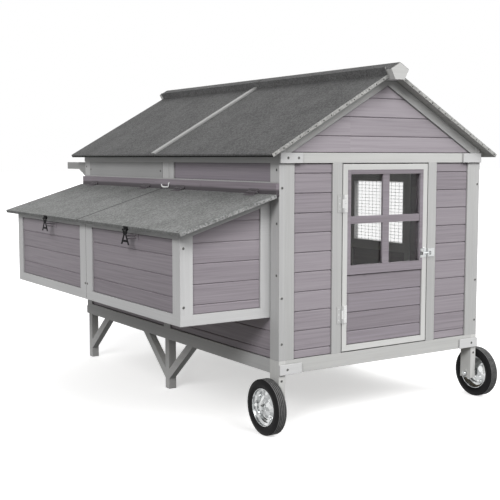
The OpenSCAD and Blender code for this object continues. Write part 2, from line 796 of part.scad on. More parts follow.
// One pressed half of the rim, from the wheel's middle plane out. Its dish runs from the well to the hub
rim_t = 2;
rim_lip = 1.5;
rim_out = rim_r - 2 * fit;
rim_edge = bead_half + rim_lip;
rim_dish = [
    [rim_out - rim_t, 9], [rim_r - 11, 4], [rim_r - 23, 6],
    [hub_r + 21, 13], [hub_r + 12, hub_half - 2], [hub_r + fit, hub_half - 2]
];

module rim_half() rotate_extrude($fn = 96) polygon(concat(
    [[rim_out, joint], [rim_out, rim_edge], [rim_out - rim_t, rim_edge]],
    rim_dish,
    reversed([for (p = rim_dish) [p[0], p[1] - rim_t]]),
    [[rim_out - rim_t, joint]]
));

module rim() at_wheel() {
    rim_half();
    mirror([0, 0, 1]) rim_half();
    difference() {
        translate([0, 0, -hub_half]) cylinder(r = hub_r, h = 2 * hub_half);
        translate([0, 0, -tyre_w]) cylinder(r = axle_r + fit, h = 2 * tyre_w);
    }
}

module right_side() translate([house_w, 0, 0]) mirror([1, 0, 0]) children();

module left_tyre() color(black_steel) tyre();
module right_tyre() color(black_steel) right_side() tyre();
module left_rim() color(zinc) rim();
module right_rim() color(zinc) right_side() rim();

// Lifting handles at the back
handle_drop = 3;
handle_z = tie_z - handle_drop - handle_h;

module handles() color(light_paint) both_sides() {
    block([0, house_l, handle_z], [wall_t, house_l + handle_l, handle_z + handle_h]);
    along_x(0, wall_t) polygon([
        [house_l, handle_z - gusset_h], [house_l + gusset_l, handle_z - joint], [house_l, handle_z - joint]
    ]);
}

// Door
door_edge = [door_x + door_frame_w, house_w - door_x - door_frame_w];
sash_x = [door_edge[0] + sash_w, door_edge[1] - sash_w];
sash_top = door_z[1] - door_frame_w - sash_w;
sash_z = [sash_top - window_h, sash_top];
bar_inset = 2;
bar_y = [bar_inset, bar_inset + bar_t];

module door_frame() color(white_paint) {
    both_sides() block([door_x, 0, door_z[0]], [door_edge[0], door_t, door_z[1]]);
    for (z = [door_z[0], door_z[1] - door_frame_w])
        block([door_edge[0] + joint, 0, z], [door_edge[1] - joint, door_t, z + door_frame_w]);
}

module door_sash() color(board_paint) {
    both_sides() block([door_edge[0], 0, sash_z[0] + joint], [sash_x[0], door_t, sash_z[1] - joint]);
    block([door_edge[0], 0, sash_z[1]], [door_edge[1], door_t, sash_z[1] + sash_w]);
    block([door_edge[0], 0, sash_z[0] - sill_h], [door_edge[1], door_t, sash_z[0]]);
}

module door_boards() color(board_paint) planks_front(
    door_edge[0], door_edge[1], door_z[0] + door_frame_w, sash_z[0] - sill_h, rail_top + door_joint);

module door_window_bars() color(board_paint) {
    cross_z = [(sash_z[0] + sash_z[1] - transom_h) / 2, (sash_z[0] + sash_z[1] + transom_h) / 2];
    block([sash_x[0], bar_y[0], cross_z[0]], [sash_x[1], bar_y[1], cross_z[1]]);
    for (z = [[sash_z[0], cross_z[0] - joint], [cross_z[1] + joint, sash_z[1]]])
        block([mid_x - mullion_w / 2, bar_y[0], z[0]], [mid_x + mullion_w / 2, bar_y[1], z[1]]);
}

module door_pane() color("#dfe6e8", 0.35)
    block([sash_x[0], bar_y[1], sash_z[0]], [sash_x[1], bar_y[1] + pane_t, sash_z[1]]);

module door_hinge_leaves() color(zinc) at_door_hinges() mirror([1, 0, 0]) flat_leaf([inner_knuckle]);

// Door bolt: a plate with two bridges, the sliding rod, and the keeper on the post
bridge_wall = 3;
bridge_half = bolt_r + bridge_wall;
plate_half = 18;
knob_h = 20;
knob_ball = 4;

module bolt_bridge(x0, x1, clearance) difference() {
    block([x0, bolt_y - bridge_half, bolt_z - bridge_half], [x1, -plate_t, bolt_z + bridge_half]);
    translate([x0 - 1, bolt_y, bolt_z]) rotate([0, 90, 0]) cylinder(r = bolt_r + clearance, h = x1 - x0 + 2);
}

module door_bolt_guide() color(zinc) {
    block([guide_x[0], -plate_t, bolt_z - plate_half], [guide_x[1], 0, bolt_z + plate_half]);
    bolt_bridge(guide_x[0], guide_x[0] + guide_bridge, fit);
    bolt_bridge(guide_x[1] - guide_bridge, guide_x[1], fit);
}

module door_bolt() color(zinc) {
    rod_x = [guide_x[0] + 1, guide_x[1] + 2];
    knob_x = guide_x[0] + guide_bridge + knob_r + 2;
    translate([rod_x[0], bolt_y, bolt_z]) rotate([0, 90, 0]) cylinder(r = bolt_r, h = rod_x[1] - rod_x[0]);
    translate([knob_x, bolt_y, bolt_z]) cylinder(r = knob_r, h = knob_h);
    translate([knob_x, bolt_y, bolt_z + knob_h]) sphere(r = knob_ball);
}

keeper_l = 36;
keeper_in = 1.5;
keeper_eye = [5, 16];
keeper_x = [mid_x + opening_w / 2 + keeper_in, mid_x + opening_w / 2 + keeper_in + keeper_l];

module bolt_keeper() color(zinc) {
    block([keeper_x[0], -plate_t, bolt_z - plate_half + 2], [keeper_x[1], 0, bolt_z + plate_half - 2]);
    bolt_bridge(keeper_x[0] + keeper_eye[0], keeper_x[0] + keeper_eye[1], run_gap);
}

// Nest lids
module lid_deck(span) on_lid(0, lid_len, -roof_t, -felt_t, span[0], span[1]);
module lid_felt(span) on_lid(0, lid_len, -felt_t, 0, span[0], span[1]);

// Hinge leaves on the felt, and the hasp's fixed leaf on the front edge
module lid_hardware(span, hasp_y) {
    at_lid_hinges(span) rotate([0, 0, -lid_pitch]) flat_leaf([inner_knuckle]);
    on_lid(lid_len, lid_len + plate_t, -roof_t - 1, -1.5, hasp_y - hasp_w / 2, hasp_y + hasp_w / 2);
    difference() {
        union() {
            at_hasp(hasp_y) cylinder(r = knuckle_r, h = hasp_w / 2 - 2 * run_gap, center = true);
            on_lid(lid_len, lid_len + hasp_out, -roof_t - 1, 1 - roof_t,
                   hasp_y - hasp_w / 4 + run_gap, hasp_y + hasp_w / 4 - run_gap);
        }
        at_hasp(hasp_y) cylinder(r = pin_r + fit, h = 2 * hasp_w, center = true);
    }
}

module at_hasp(y) translate([hasp_axis[0], y, hasp_axis[1]]) rotate([-90, 0, 0]) children();

module front_lid_deck() color(felt_grey) lid_deck(lid_spans[0]);
module rear_lid_deck() color(felt_grey) lid_deck(lid_spans[1]);
module front_lid_felt() color(felt_grey) lid_felt(lid_spans[0]);
module rear_lid_felt() color(felt_grey) lid_felt(lid_spans[1]);
module front_lid_hardware() color(black_steel) lid_hardware(lid_spans[0], hasp_ys[0]);
module rear_lid_hardware() color(black_steel) lid_hardware(lid_spans[1], hasp_ys[1]);

// Hasp strap: two knuckles on their own pin, and a plate whose two legs spread from a narrow neck.
// It hangs straight down, and the window between its legs drops over the staple.
function leg_at(z) = hasp_neck + (hasp_foot / 2 - hasp_neck) * (-z - hasp_waist) / (hasp_l - hasp_waist);
bar_top = hasp_bar - hasp_l + hasp_leg;
window_top = -hasp_waist - hasp_bridge;
staple_drop = -(window_top + bar_top) / 2;

module hasp_plate() along_x(-strap_t / 2, strap_t / 2) difference() {
    polygon([
        [-hasp_w / 2, -leaf_start], [hasp_w / 2, -leaf_start], [hasp_w / 2, -hasp_tab],
        [hasp_neck, -hasp_waist], [hasp_foot / 2, -hasp_l], [-hasp_foot / 2, -hasp_l],
        [-hasp_neck, -hasp_waist], [-hasp_w / 2, -hasp_tab]
    ]);
    polygon([
        for (side = [-1, 1]) each [
            [side * (leg_at(side < 0 ? bar_top : window_top) - hasp_leg), side < 0 ? bar_top : window_top],
            [side * (leg_at(side < 0 ? window_top : bar_top) - hasp_leg), side < 0 ? window_top : bar_top]
        ]
    ]);
    polygon([
        [hasp_leg - hasp_foot / 2, -hasp_l - 1], [hasp_foot / 2 - hasp_leg, -hasp_l - 1],
        [leg_at(bar_top - hasp_bar) - hasp_leg, bar_top - hasp_bar],
        [hasp_leg - leg_at(bar_top - hasp_bar), bar_top - hasp_bar]
    ]);
}

module hasp(y) {
    at_hasp(y) cylinder(r = pin_r, h = hasp_w, center = true);
    for (side = [-1, 1]) {
        at_hasp(y) translate([0, 0, side * hasp_w * 3 / 8])
            cylinder(r = knuckle_r, h = hasp_w / 4, center = true);
        translate([hasp_axis[0], y + side * hasp_w * 3 / 8, hasp_axis[1]])
            block([-strap_t / 2, -hasp_w / 8, -leaf_start - 1], [strap_t / 2, hasp_w / 8, 0]);
    }
    translate([hasp_axis[0], y, hasp_axis[1]]) hasp_plate();
}

module front_hasp() color(black_steel) hasp(hasp_ys[0]);
module rear_hasp() color(black_steel) hasp(hasp_ys[1]);

// Staples: a plate on the nest planks with a rod bent square to a loop, standing in the slot's line
staple_plate = [40, 23];

module hasp_staples() color(black_steel) for (y = hasp_ys) {
    board_x = board_inset - nest_d;
    bar_x = hasp_axis[0] + strap_t / 2 + run_gap + 0.2 + staple_r;
    leg_z = staple_h / 2 - staple_r;
    translate([0, y, hasp_axis[1] - staple_drop]) {
        block([board_x - strap_t, -staple_plate[0] / 2, -staple_plate[1] / 2],
              [board_x, staple_plate[0] / 2, staple_plate[1] / 2]);
        for (side = [-1, 1]) translate([bar_x, 0, side * leg_z]) {
            rotate([0, -45 * side, 0]) sphere(r = staple_r);
            rotate([0, 90, 0]) cylinder(r = staple_r, h = board_x - strap_t - bar_x);
        }
        translate([bar_x, 0, -leg_z]) cylinder(r = staple_r, h = 2 * leg_z);
    }
}

module placed() translate(origin_shift) children();

placed() front_rails();
placed() front_posts();
placed() front_boards();
placed() back_rails();
placed() back_posts();
placed() back_boards();
placed() gable_boards();
placed() rake_boards();
placed() corner_blocks();
placed() left_frame();
placed() left_boards();
placed() left_upper_panel();
placed() left_vent_cover();
placed() lid_hinge_rail();
placed() right_frame();
placed() right_boards();
placed() right_window_frames();
placed() right_window_mesh();
placed() floor_joists();
placed() floor_panel();
placed() roosts();
placed() mid_rafters();
placed() roof_decks();
placed() roof_felts();
placed() roof_battens();
placed() ridge_beam();
placed() nest_floor();
placed() nest_frames();
placed() nest_boards();
placed() nest_dividers();
placed() door_hinge_plates();
placed() lid_hinge_plates();
placed() hinge_pins();
placed() ground_legs();
placed() leg_braces();
placed() wheel_legs();
placed() axle_bolts();
placed() handles();
placed() bolt_keeper();
placed() hasp_staples();
placed() door_frame();
placed() door_sash();
placed() door_boards();
placed() door_window_bars();
placed() door_pane();
placed() door_hinge_leaves();
placed() door_bolt_guide();
placed() door_bolt();
placed() front_lid_deck();
placed() front_lid_felt();
placed() front_lid_hardware();
placed() rear_lid_deck();
placed() rear_lid_felt();
placed() rear_lid_hardware();
placed() front_hasp();
placed() rear_hasp();
placed() left_tyre();
placed() left_rim();
placed() right_tyre();
placed() right_rim();
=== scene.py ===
# A raised timber chicken tractor: a felt-roofed coop on two wheels and four legs, with a side nest box.
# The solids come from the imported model; this script gives them their finishes and adds the small fasteners.
import math

import bmesh
import bpy
from mathutils import Matrix, Vector


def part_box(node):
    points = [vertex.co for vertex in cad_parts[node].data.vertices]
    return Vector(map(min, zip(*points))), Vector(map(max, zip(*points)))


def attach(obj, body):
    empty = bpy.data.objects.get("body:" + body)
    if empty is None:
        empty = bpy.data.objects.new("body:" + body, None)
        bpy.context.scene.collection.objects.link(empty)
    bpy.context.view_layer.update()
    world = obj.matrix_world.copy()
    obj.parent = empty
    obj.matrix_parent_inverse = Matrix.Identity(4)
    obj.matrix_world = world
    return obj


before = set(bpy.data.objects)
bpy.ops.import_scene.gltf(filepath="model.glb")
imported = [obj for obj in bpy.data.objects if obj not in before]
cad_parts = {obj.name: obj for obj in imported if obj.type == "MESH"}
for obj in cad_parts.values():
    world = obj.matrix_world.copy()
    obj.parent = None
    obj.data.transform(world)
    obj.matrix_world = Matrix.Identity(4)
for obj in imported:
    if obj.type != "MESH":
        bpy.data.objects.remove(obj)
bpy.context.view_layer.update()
scene = bpy.context.scene
scene.view_settings.view_transform = "Standard"

# The viewpoint. The coop is seen from its front left corner at about chest height, through a lens that is
# a little longer than normal. Places here and below are millimetres from the house's front left corner.
corner = Vector((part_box("left_frame")[0].x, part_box("front_posts")[0].y, 0))


def at(x, y, z):
    return corner + Vector((x, y, z)) / 1000


line_of_sight = Vector((0.5464, 0.8321, -0.0957))
camera = bpy.data.objects.new("camera", bpy.data.cameras.new("camera"))
camera.data.sensor_width = 36
camera.data.lens = 68.88
camera.location = at(-1942, -2769, 996)
camera.rotation_euler = line_of_sight.to_track_quat("-Z", "Y").to_euler()
scene.collection.objects.link(camera)
scene.camera = camera

# The studio: a wide pale floor, a broad lamp in front of the door, a second beside the nest box and a weak
# one behind. The background is white to the eye and to shiny metal, and much softer as a light on the coop.
SKY_AS_LIGHT, SKY_AS_SEEN = 0.40, 1.0


def linear(hex_colour):
    parts = [int(hex_colour[i:i + 2], 16) / 255 for i in (1, 3, 5)]
    return tuple(c / 12.92 if c <= 0.04045 else ((c + 0.055) / 1.055) ** 2.4 for c in parts) + (1,)


def add(owner, kind, links=None, **settings):
    """Adds a node. Each link is a socket to join to that input, or a plain value to set on it."""
    node = owner.node_tree.nodes.new(kind)
    for name, value in settings.items():
        setattr(node, name, value)
    for name, value in (links or {}).items():
        if isinstance(value, bpy.types.NodeSocket):
            owner.node_tree.links.new(value, node.inputs[name])
        else:
            node.inputs[name].default_value = value
    return node


def bare(owner):
    owner.use_nodes = True
    owner.node_tree.nodes.clear()
    return owner


def looked_at(owner):
    """1 for a ray of the camera, of a mirror or through the window, and 0 for light on the coop."""
    rays = add(owner, "ShaderNodeLightPath").outputs
    seen = add(owner, "ShaderNodeMath", {0: rays["Is Camera Ray"], 1: rays["Is Glossy Ray"]}, operation="ADD")
    return add(owner, "ShaderNodeMath", {0: seen.outputs[0], 1: rays["Is Transmission Ray"]},
               operation="ADD", use_clamp=True).outputs[0]


world = bare(bpy.data.worlds.new("studio"))
scene.world = world
sky = add(world, "ShaderNodeMapRange", {
    "Value": looked_at(world), "To Min": SKY_AS_LIGHT, "To Max": SKY_AS_SEEN})
sky = add(world, "ShaderNodeBackground", {"Color": (1, 1, 1, 1), "Strength": sky.outputs[0]})
add(world, "ShaderNodeOutputWorld", {"Surface": sky.outputs[0]})

# The floor gives the coop little light. Metal and the window see it as an even white, and only the camera
# sees the full shadow. A mix node's sockets are given by their places, because their names repeat.
FLOOR_REACH = 60
FLOOR_AS_LIGHT, FLOOR_IN_METAL, FLOOR_AS_SEEN = 0.15, 0.20, 0.82
GLOW_IN_METAL, GLOW_AS_SEEN = 0.78, 0.54
NUMBER_A, NUMBER_B = 2, 3
floor_mesh = bpy.data.meshes.new("studio_floor")
floor_corners = [(x * FLOOR_REACH, y * FLOOR_REACH, 0) for x, y in ((-1, -1), (1, -1), (1, 1), (-1, 1))]
floor_mesh.from_pydata(floor_corners, [], [(0, 1, 2, 3)])
floor = bpy.data.objects.new("studio_floor", floor_mesh)
scene.collection.objects.link(floor)
matt_white = bare(bpy.data.materials.new("matt_white_floor"))
direct = add(matt_white, "ShaderNodeLightPath").outputs["Is Camera Ray"]
shade = add(matt_white, "ShaderNodeMapRange", {
    "Value": looked_at(matt_white), "To Min": FLOOR_AS_LIGHT, "To Max": FLOOR_IN_METAL})
shade = add(matt_white, "ShaderNodeMix", {
    "Factor": direct, NUMBER_A: shade.outputs[0], NUMBER_B: FLOOR_AS_SEEN})
lit = add(matt_white, "ShaderNodeBsdfDiffuse", {"Color": shade.outputs[0]})
lift = add(matt_white, "ShaderNodeMath", {0: looked_at(matt_white), 1: GLOW_IN_METAL}, operation="MULTIPLY")
lift = add(matt_white, "ShaderNodeMix", {
    "Factor": direct, NUMBER_A: lift.outputs[0], NUMBER_B: GLOW_AS_SEEN})
glow = add(matt_white, "ShaderNodeEmission", {"Strength": lift.outputs[0]})
lit = add(matt_white, "ShaderNodeAddShader", {0: lit.outputs[0], 1: glow.outputs[0]})
add(matt_white, "ShaderNodeOutputMaterial", {"Surface": lit.outputs[0]})
floor_mesh.materials.append(matt_white)

for name, toward, strength, spread in (("front_lamp", (-0.20, 0.55, -0.50), 1.95, 40),
                                       ("nest_lamp", (0.49, 0.36, -0.36), 1.6, 20),
                                       ("back_lamp", (-0.35, -0.45, -0.40), 0.9, 60)):
    lamp = bpy.data.objects.new(name, bpy.data.lights.new(name, "SUN"))
    lamp.data.energy = strength
    lamp.data.angle = math.radians(spread)
    lamp.rotation_euler = Vector(toward).to_track_quat("-Z", "Y").to_euler()
    scene.collection.objects.link(lamp)

# Frame timbers: planed spruce with eased edges, painted satin grey in the works and screwed up into panels.
# The paint is thin: grain shows as faint lines, the edges are paler from wear and as a painted highlight,
# and the corners are darkened as painted shade. It is also darkened toward the ground as a painted shade,
# hands have worn the handles, and the legs have darker paint, a painted shade for the shadow under the coop.
VECTOR_A, VECTOR_B, VECTOR_OUT = 4, 5, 1
COLOUR_A, COLOUR_B, COLOUR_OUT = 6, 7, 2


def finish(material, names):
    for name in names:
        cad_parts[name].data.materials.clear()
        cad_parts[name].data.materials.append(material)


# The grain's lines are about 6 mm apart and run on for a third of a metre.
GRAIN_WIDE, GRAIN_LONG = 0.00625, 1 / 3
ALONG, ACROSS = 1 / GRAIN_LONG, 1 / GRAIN_WIDE
RUN = {"x": (ALONG, ACROSS, ACROSS), "y": (ACROSS, ALONG, ACROSS), "z": (ACROSS, ACROSS, ALONG)}


def wood_grain(material, place, run):
    drawn_out = add(material, "ShaderNodeVectorMath", {0: place, 1: run}, operation="MULTIPLY").outputs[0]
    return add(material, "ShaderNodeTexNoise", {
        "Vector": drawn_out, "Scale": 1.0, "Detail": 5.0, "Roughness": 0.6, "Distortion": 0.4}).outputs["Fac"]


def along_wall(material, facing):
    """1 where a face looks to the left or right, so that a rail or plank in it runs along Y instead of X."""
    looks = add(material, "ShaderNodeVectorMath", {0: facing}, operation="ABSOLUTE").outputs[0]
    looks = add(material, "ShaderNodeSeparateXYZ", {0: looks}).outputs
    return add(material, "ShaderNodeMath", {0: looks["X"], 1: looks["Y"]},
               operation="GREATER_THAN").outputs[0]


def shade_in_corners(material, colour, depth, deepest):
    """The colour, darkened as painted shade where another surface stands within that depth."""
    open_air = add(material, "ShaderNodeAmbientOcclusion", {"Distance": depth}, samples=8).outputs["AO"]
    shade = add(material, "ShaderNodeMapRange", {
        "Value": open_air, "From Min": 0.25, "From Max": 0.85, "To Min": deepest, "To Max": 1.0}).outputs[0]
    return add(material, "ShaderNodeMix", {"Factor": 1.0, COLOUR_A: colour, COLOUR_B: shade},
               data_type="RGBA", blend_type="MULTIPLY").outputs[COLOUR_OUT]


def rounded_edges(material, radius):
    """The surface's direction with its edges rounded over, and how level that is: 1 away from the edges."""
    rounded = add(material, "ShaderNodeBevel", {"Radius": radius}, samples=4).outputs[0]
    face = add(material, "ShaderNodeNewGeometry").outputs["True Normal"]
    level = add(material, "ShaderNodeVectorMath", {0: rounded, 1: face}, operation="DOT_PRODUCT")
    return rounded, level.outputs["Value"]


EASED_EDGE = 0.0022
TONE_PATCH = 0.4
UNDERGROUND, OVER_ROOF = -1.0, 9.0
DARKEST_AT, UNSHADED_AT = 0.25, 0.95


def painted_timber(name, shades, roughness, rails_below=UNDERGROUND, rails_above=OVER_ROOF, ground_shade=0.0):
    """Between the two heights the grain stands upright; below and above them it lies along the wall.
    The ground shade is how much of its brightness the paint loses at the bottom, a painted shade toward the
    ground."""
    material = bare(bpy.data.materials.new(name))
    spot = add(material, "ShaderNodeTexCoord").outputs
    height = add(material, "ShaderNodeSeparateXYZ", {0: spot["Object"]}).outputs["Z"]
    low = add(material, "ShaderNodeMath", {0: height, 1: rails_below}, operation="LESS_THAN").outputs[0]
    high = add(material, "ShaderNodeMath", {0: height, 1: rails_above}, operation="GREATER_THAN").outputs[0]
    lying = add(material, "ShaderNodeMath", {0: low, 1: high}, operation="MAXIMUM").outputs[0]
    side = along_wall(material, spot["Normal"])
    level = add(material, "ShaderNodeMix", {"Factor": side, VECTOR_A: RUN["x"], VECTOR_B: RUN["y"]},
                data_type="VECTOR").outputs[VECTOR_OUT]
    run = add(material, "ShaderNodeMix", {"Factor": lying, VECTOR_A: RUN["z"], VECTOR_B: level},
              data_type="VECTOR").outputs[VECTOR_OUT]
    grain = wood_grain(material, spot["Object"], run)
    drift = add(material, "ShaderNodeTexNoise", {
        "Vector": spot["Object"], "Scale": 1 / TONE_PATCH, "Detail": 2.0}).outputs["Fac"]
    tone = add(material, "ShaderNodeMath", {0: grain, 1: drift}, operation="ADD").outputs[0]
    tone = add(material, "ShaderNodeMapRange", {"Value": tone, "From Min": 0.7, "From Max": 1.3}).outputs[0]
    paint = add(material, "ShaderNodeMix", {
        "Factor": tone, COLOUR_A: linear(shades[0]), COLOUR_B: linear(shades[1])},
        data_type="RGBA").outputs[COLOUR_OUT]
    # The edges turn paler, partly from paint worn thin and partly as a painted highlight.
    eased, edge = rounded_edges(material, EASED_EDGE)
    edge = add(material, "ShaderNodeMapRange", {
        "Value": edge, "From Min": 0.99, "From Max": 0.9, "To Max": 0.6}).outputs[0]
    paint = add(material, "ShaderNodeMix", {"Factor": edge, COLOUR_A: paint, COLOUR_B: linear(shades[2])},
                data_type="RGBA").outputs[COLOUR_OUT]
    # Corners and creases are darkened as painted shade.
    paint = shade_in_corners(material, paint, depth=0.012, deepest=0.55)
    # A painted shade: the paint grows darker toward the ground.
    if ground_shade:
        ground_shading = add(material, "ShaderNodeMapRange", {
            "Value": height, "From Min": DARKEST_AT, "From Max": UNSHADED_AT,
            "To Min": 1 - ground_shade, "To Max": 1.0}).outputs[0]
        paint = add(material, "ShaderNodeMix", {"Factor": 1.0, COLOUR_A: paint, COLOUR_B: ground_shading},
                    data_type="RGBA", blend_type="MULTIPLY").outputs[COLOUR_OUT]
    bump = add(material, "ShaderNodeBump", {
        "Height": grain, "Normal": eased, "Strength": 0.25, "Distance": 0.0004})
    surface = add(material, "ShaderNodeBsdfPrincipled", {
        "Base Color": paint, "Roughness": roughness, "Specular IOR Level": 0.3, "Normal": bump.outputs[0]})
    add(material, "ShaderNodeOutputMaterial", {"Surface": surface.outputs[0]})
    return material


SATIN, WORN = 0.5, 0.6
# How much of its brightness the paint loses at the bottom, as painted shade toward the ground.
GROUND_SHADE = 0.13
grey = ("#c4c4c2", "#d2d2d0", "#dcdcda")
finish(painted_timber("satin_grey_paint_on_spruce_rails", grey, SATIN, rails_above=UNDERGROUND,
                      ground_shade=GROUND_SHADE), ["front_rails", "back_rails", "ridge_beam"])
finish(painted_timber("hand_worn_grey_paint_on_spruce_handles", ("#959594", "#a2a2a1", "#adadac"), WORN,
                      rails_above=UNDERGROUND), ["handles"])
# The rake boards have darker paint than the rails, a painted shade for the shadow under the roof's overhang.
finish(painted_timber("satin_grey_paint_on_spruce_rake_boards", ("#adadac", "#b9b9b8", "#c3c3c2"), SATIN,
                      rails_above=UNDERGROUND), ["rake_boards"])
finish(painted_timber("satin_grey_paint_on_spruce_posts", ("#b9b9b8", "#c6c6c5", "#d1d1d0"), SATIN,
                      ground_shade=GROUND_SHADE), ["front_posts", "back_posts"])
# The vent cover has darker paint than the frames, a painted shade for the shadow under the eaves.
finish(painted_timber("satin_grey_paint_on_spruce_vent_cover", ("#979797", "#a4a4a4", "#b1b1b0"), SATIN,
                      rails_above=UNDERGROUND), ["left_vent_cover"])
finish(painted_timber("satin_grey_paint_on_spruce_wheel_legs", grey, SATIN), ["wheel_legs"])
# The legs and their braces have darker paint than the frames, a painted shade for the shadow under the coop.
leg_shade_grey = ("#b4b4b3", "#c1c1c0", "#cbcbca")
finish(painted_timber("shade_darkened_grey_paint_on_spruce_legs", leg_shade_grey, WORN), ["ground_legs"])
finish(painted_timber("shade_darkened_grey_paint_on_spruce_braces", leg_shade_grey, WORN, rails_above=UNDERGROUND),
       ["leg_braces"])
finish(painted_timber("satin_grey_paint_on_spruce_side_panels", ("#bababa", "#c7c7c6", "#d1d1d0"), SATIN,
                      rails_below=0.268, rails_above=0.978, ground_shade=GROUND_SHADE),
       ["left_frame", "right_frame", "right_window_frames"])
finish(painted_timber("satin_grey_paint_on_spruce_nest_panels", ("#c0c0c0", "#cccccc", "#d6d6d6"), SATIN,
                      rails_below=0.459, rails_above=0.717), ["nest_frames"])
finish(painted_timber("satin_grey_paint_on_spruce_blocks", ("#cacaca", "#d6d6d6", "#e0e0e0"), SATIN,
                      rails_above=UNDERGROUND), ["corner_blocks"])

# Wall planks: tongued spruce boards with chamfered edges, painted purple-grey and slid into the frames.
# Each plank has its own tone, faint knots and grain show through the thin paint, and the V grooves are
# darkened as painted shade. A dark band at the foot of the rail that carries the lids is a painted shadow.
PLANK_PITCH = 0.0714
KNOT_SPACING = 0.17
BAY_SHIFT = (3.1, 5.7, 0)
SHADOW_WAVER, SHADOW_EDGE = 0.01, 0.008


def painted_planks(name, joint_height, shades=("#867f85", "#979096", "#a29ba1"), groove=0.30,
                   shadow_up_to=0.0):
    """The joint height is that of any one groove; below the other height the paint is darkened as a painted
    shadow.
    """
    material = bare(bpy.data.materials.new(name))
    spot = add(material, "ShaderNodeTexCoord").outputs
    side = along_wall(material, spot["Normal"])
    height = add(material, "ShaderNodeSeparateXYZ", {0: spot["Object"]}).outputs["Z"]
    row = add(material, "ShaderNodeMath", {0: height, 1: joint_height}, operation="SUBTRACT").outputs[0]
    row = add(material, "ShaderNodeMath", {0: row, 1: PLANK_PITCH}, operation="DIVIDE").outputs[0]
    row = add(material, "ShaderNodeMath", {0: row}, operation="FLOOR").outputs[0]
    bay = add(material, "ShaderNodeVectorMath", {0: spot["Object"]}, operation="SIGN").outputs[0]
    bay = add(material, "ShaderNodeVectorMath", {0: bay, 1: BAY_SHIFT}, operation="MULTIPLY").outputs[0]
    own = add(material, "ShaderNodeCombineXYZ", {"X": row, "Y": side}).outputs[0]
    own = add(material, "ShaderNodeVectorMath", {0: own, 1: bay}, operation="ADD").outputs[0]
    plank = add(material, "ShaderNodeTexWhiteNoise", {"Vector": own}).outputs
    place = add(material, "ShaderNodeVectorMath", {0: spot["Object"], 1: plank["Color"]},
                operation="ADD").outputs[0]
    run = add(material, "ShaderNodeMix", {"Factor": side, VECTOR_A: RUN["x"], VECTOR_B: RUN["y"]},
              data_type="VECTOR").outputs[VECTOR_OUT]
    grain = wood_grain(material, place, run)
    tone = add(material, "ShaderNodeMapRange", {
        "Value": plank["Value"], "To Min": -0.16, "To Max": 0.16}).outputs[0]
    tone = add(material, "ShaderNodeMath", {0: grain, 1: tone}, operation="ADD").outputs[0]
    dark = add(material, "ShaderNodeMapRange", {"Value": tone, "From Min": 0.2, "From Max": 0.5}).outputs[0]
    pale = add(material, "ShaderNodeMapRange", {"Value": tone, "From Min": 0.5, "From Max": 0.8}).outputs[0]
    paint = add(material, "ShaderNodeMix", {
        "Factor": dark, COLOUR_A: linear(shades[0]), COLOUR_B: linear(shades[1])},
        data_type="RGBA").outputs[COLOUR_OUT]
    paint = add(material, "ShaderNodeMix", {"Factor": pale, COLOUR_A: paint, COLOUR_B: linear(shades[2])},
                data_type="RGBA").outputs[COLOUR_OUT]
    knot = add(material, "ShaderNodeTexVoronoi", {"Vector": place, "Scale": 1 / KNOT_SPACING})
    knot = add(material, "ShaderNodeMapRange", {
        "Value": knot.outputs["Distance"], "From Min": 0.03, "From Max": 0.09,
        "To Min": 0.35, "To Max": 0.0}).outputs[0]
    paint = add(material, "ShaderNodeMix", {"Factor": knot, COLOUR_A: paint, COLOUR_B: linear("#6d646c")},
                data_type="RGBA").outputs[COLOUR_OUT]
    # The V grooves and corners are darkened as painted shade.
    paint = shade_in_corners(material, paint, depth=0.010, deepest=groove)
    # A painted shadow: below the given height the paint turns dark, with a wavering edge.
    if shadow_up_to:
        shadow_line = add(material, "ShaderNodeMath", {0: grain, 1: SHADOW_WAVER}, operation="MULTIPLY").outputs[0]
        shadow_line = add(material, "ShaderNodeMath", {0: height, 1: shadow_line}, operation="ADD").outputs[0]
        shadow_line = add(material, "ShaderNodeMapRange", {
            "Value": shadow_line, "From Min": shadow_up_to, "From Max": shadow_up_to + SHADOW_EDGE}).outputs[0]
        paint = add(material, "ShaderNodeMix", {"Factor": shadow_line, COLOUR_A: linear("#4b464a"), COLOUR_B: paint},
                    data_type="RGBA").outputs[COLOUR_OUT]
    bump = add(material, "ShaderNodeBump", {"Height": grain, "Strength": 0.35, "Distance": 0.0005})
    surface = add(material, "ShaderNodeBsdfPrincipled", {
        "Base Color": paint, "Roughness": 0.55, "Specular IOR Level": 0.3, "Normal": bump.outputs[0]})
    add(material, "ShaderNodeOutputMaterial", {"Surface": surface.outputs[0]})
    return material


finish(painted_planks("purple_grey_paint_on_spruce_walls", 0.298),
       ["front_boards", "back_boards", "left_boards", "right_boards"])
# The gables' planks are paler than the walls', a painted light for the stronger light high on the front.
finish(painted_planks("purple_grey_paint_on_spruce_gables", 1.076, ("#928b91", "#a49da3", "#aea7ad")),
       ["gable_boards"])
# The nests' planks are darker than the walls', a painted shade for their sides turned from the main light.
finish(painted_planks("purple_grey_paint_on_spruce_nests", 0.516, ("#827b81", "#928b91", "#9d969c"),
                      groove=0.9), ["nest_boards"])
# The upper trim has darker planks than the walls, a painted shade for the shadow under the eaves.
finish(painted_planks("purple_grey_paint_on_spruce_trim", 0.0, ("#7a7379", "#89828a", "#948d93")),
       ["left_upper_panel"])
# The rail's dark band just above the lids is a painted shadow.
finish(painted_planks("shadow_banded_paint_on_hinge_rail", 0.0, ("#776f76", "#877f86", "#928a91"),
                      shadow_up_to=0.885), ["lid_hinge_rail"])

# Floor, joists, rafters, roosts and nest sheets: planed spruce and plywood left unpainted.
# They are pale and straight grained, and only show through the windows and under the open lids.
finish(painted_timber("planed_spruce", ("#a3967f", "#bfb39c", "#cbc1ae"), 0.7, rails_above=UNDERGROUND),
       ["floor_joists", "mid_rafters", "floor_panel", "roosts", "nest_floor", "nest_dividers"])

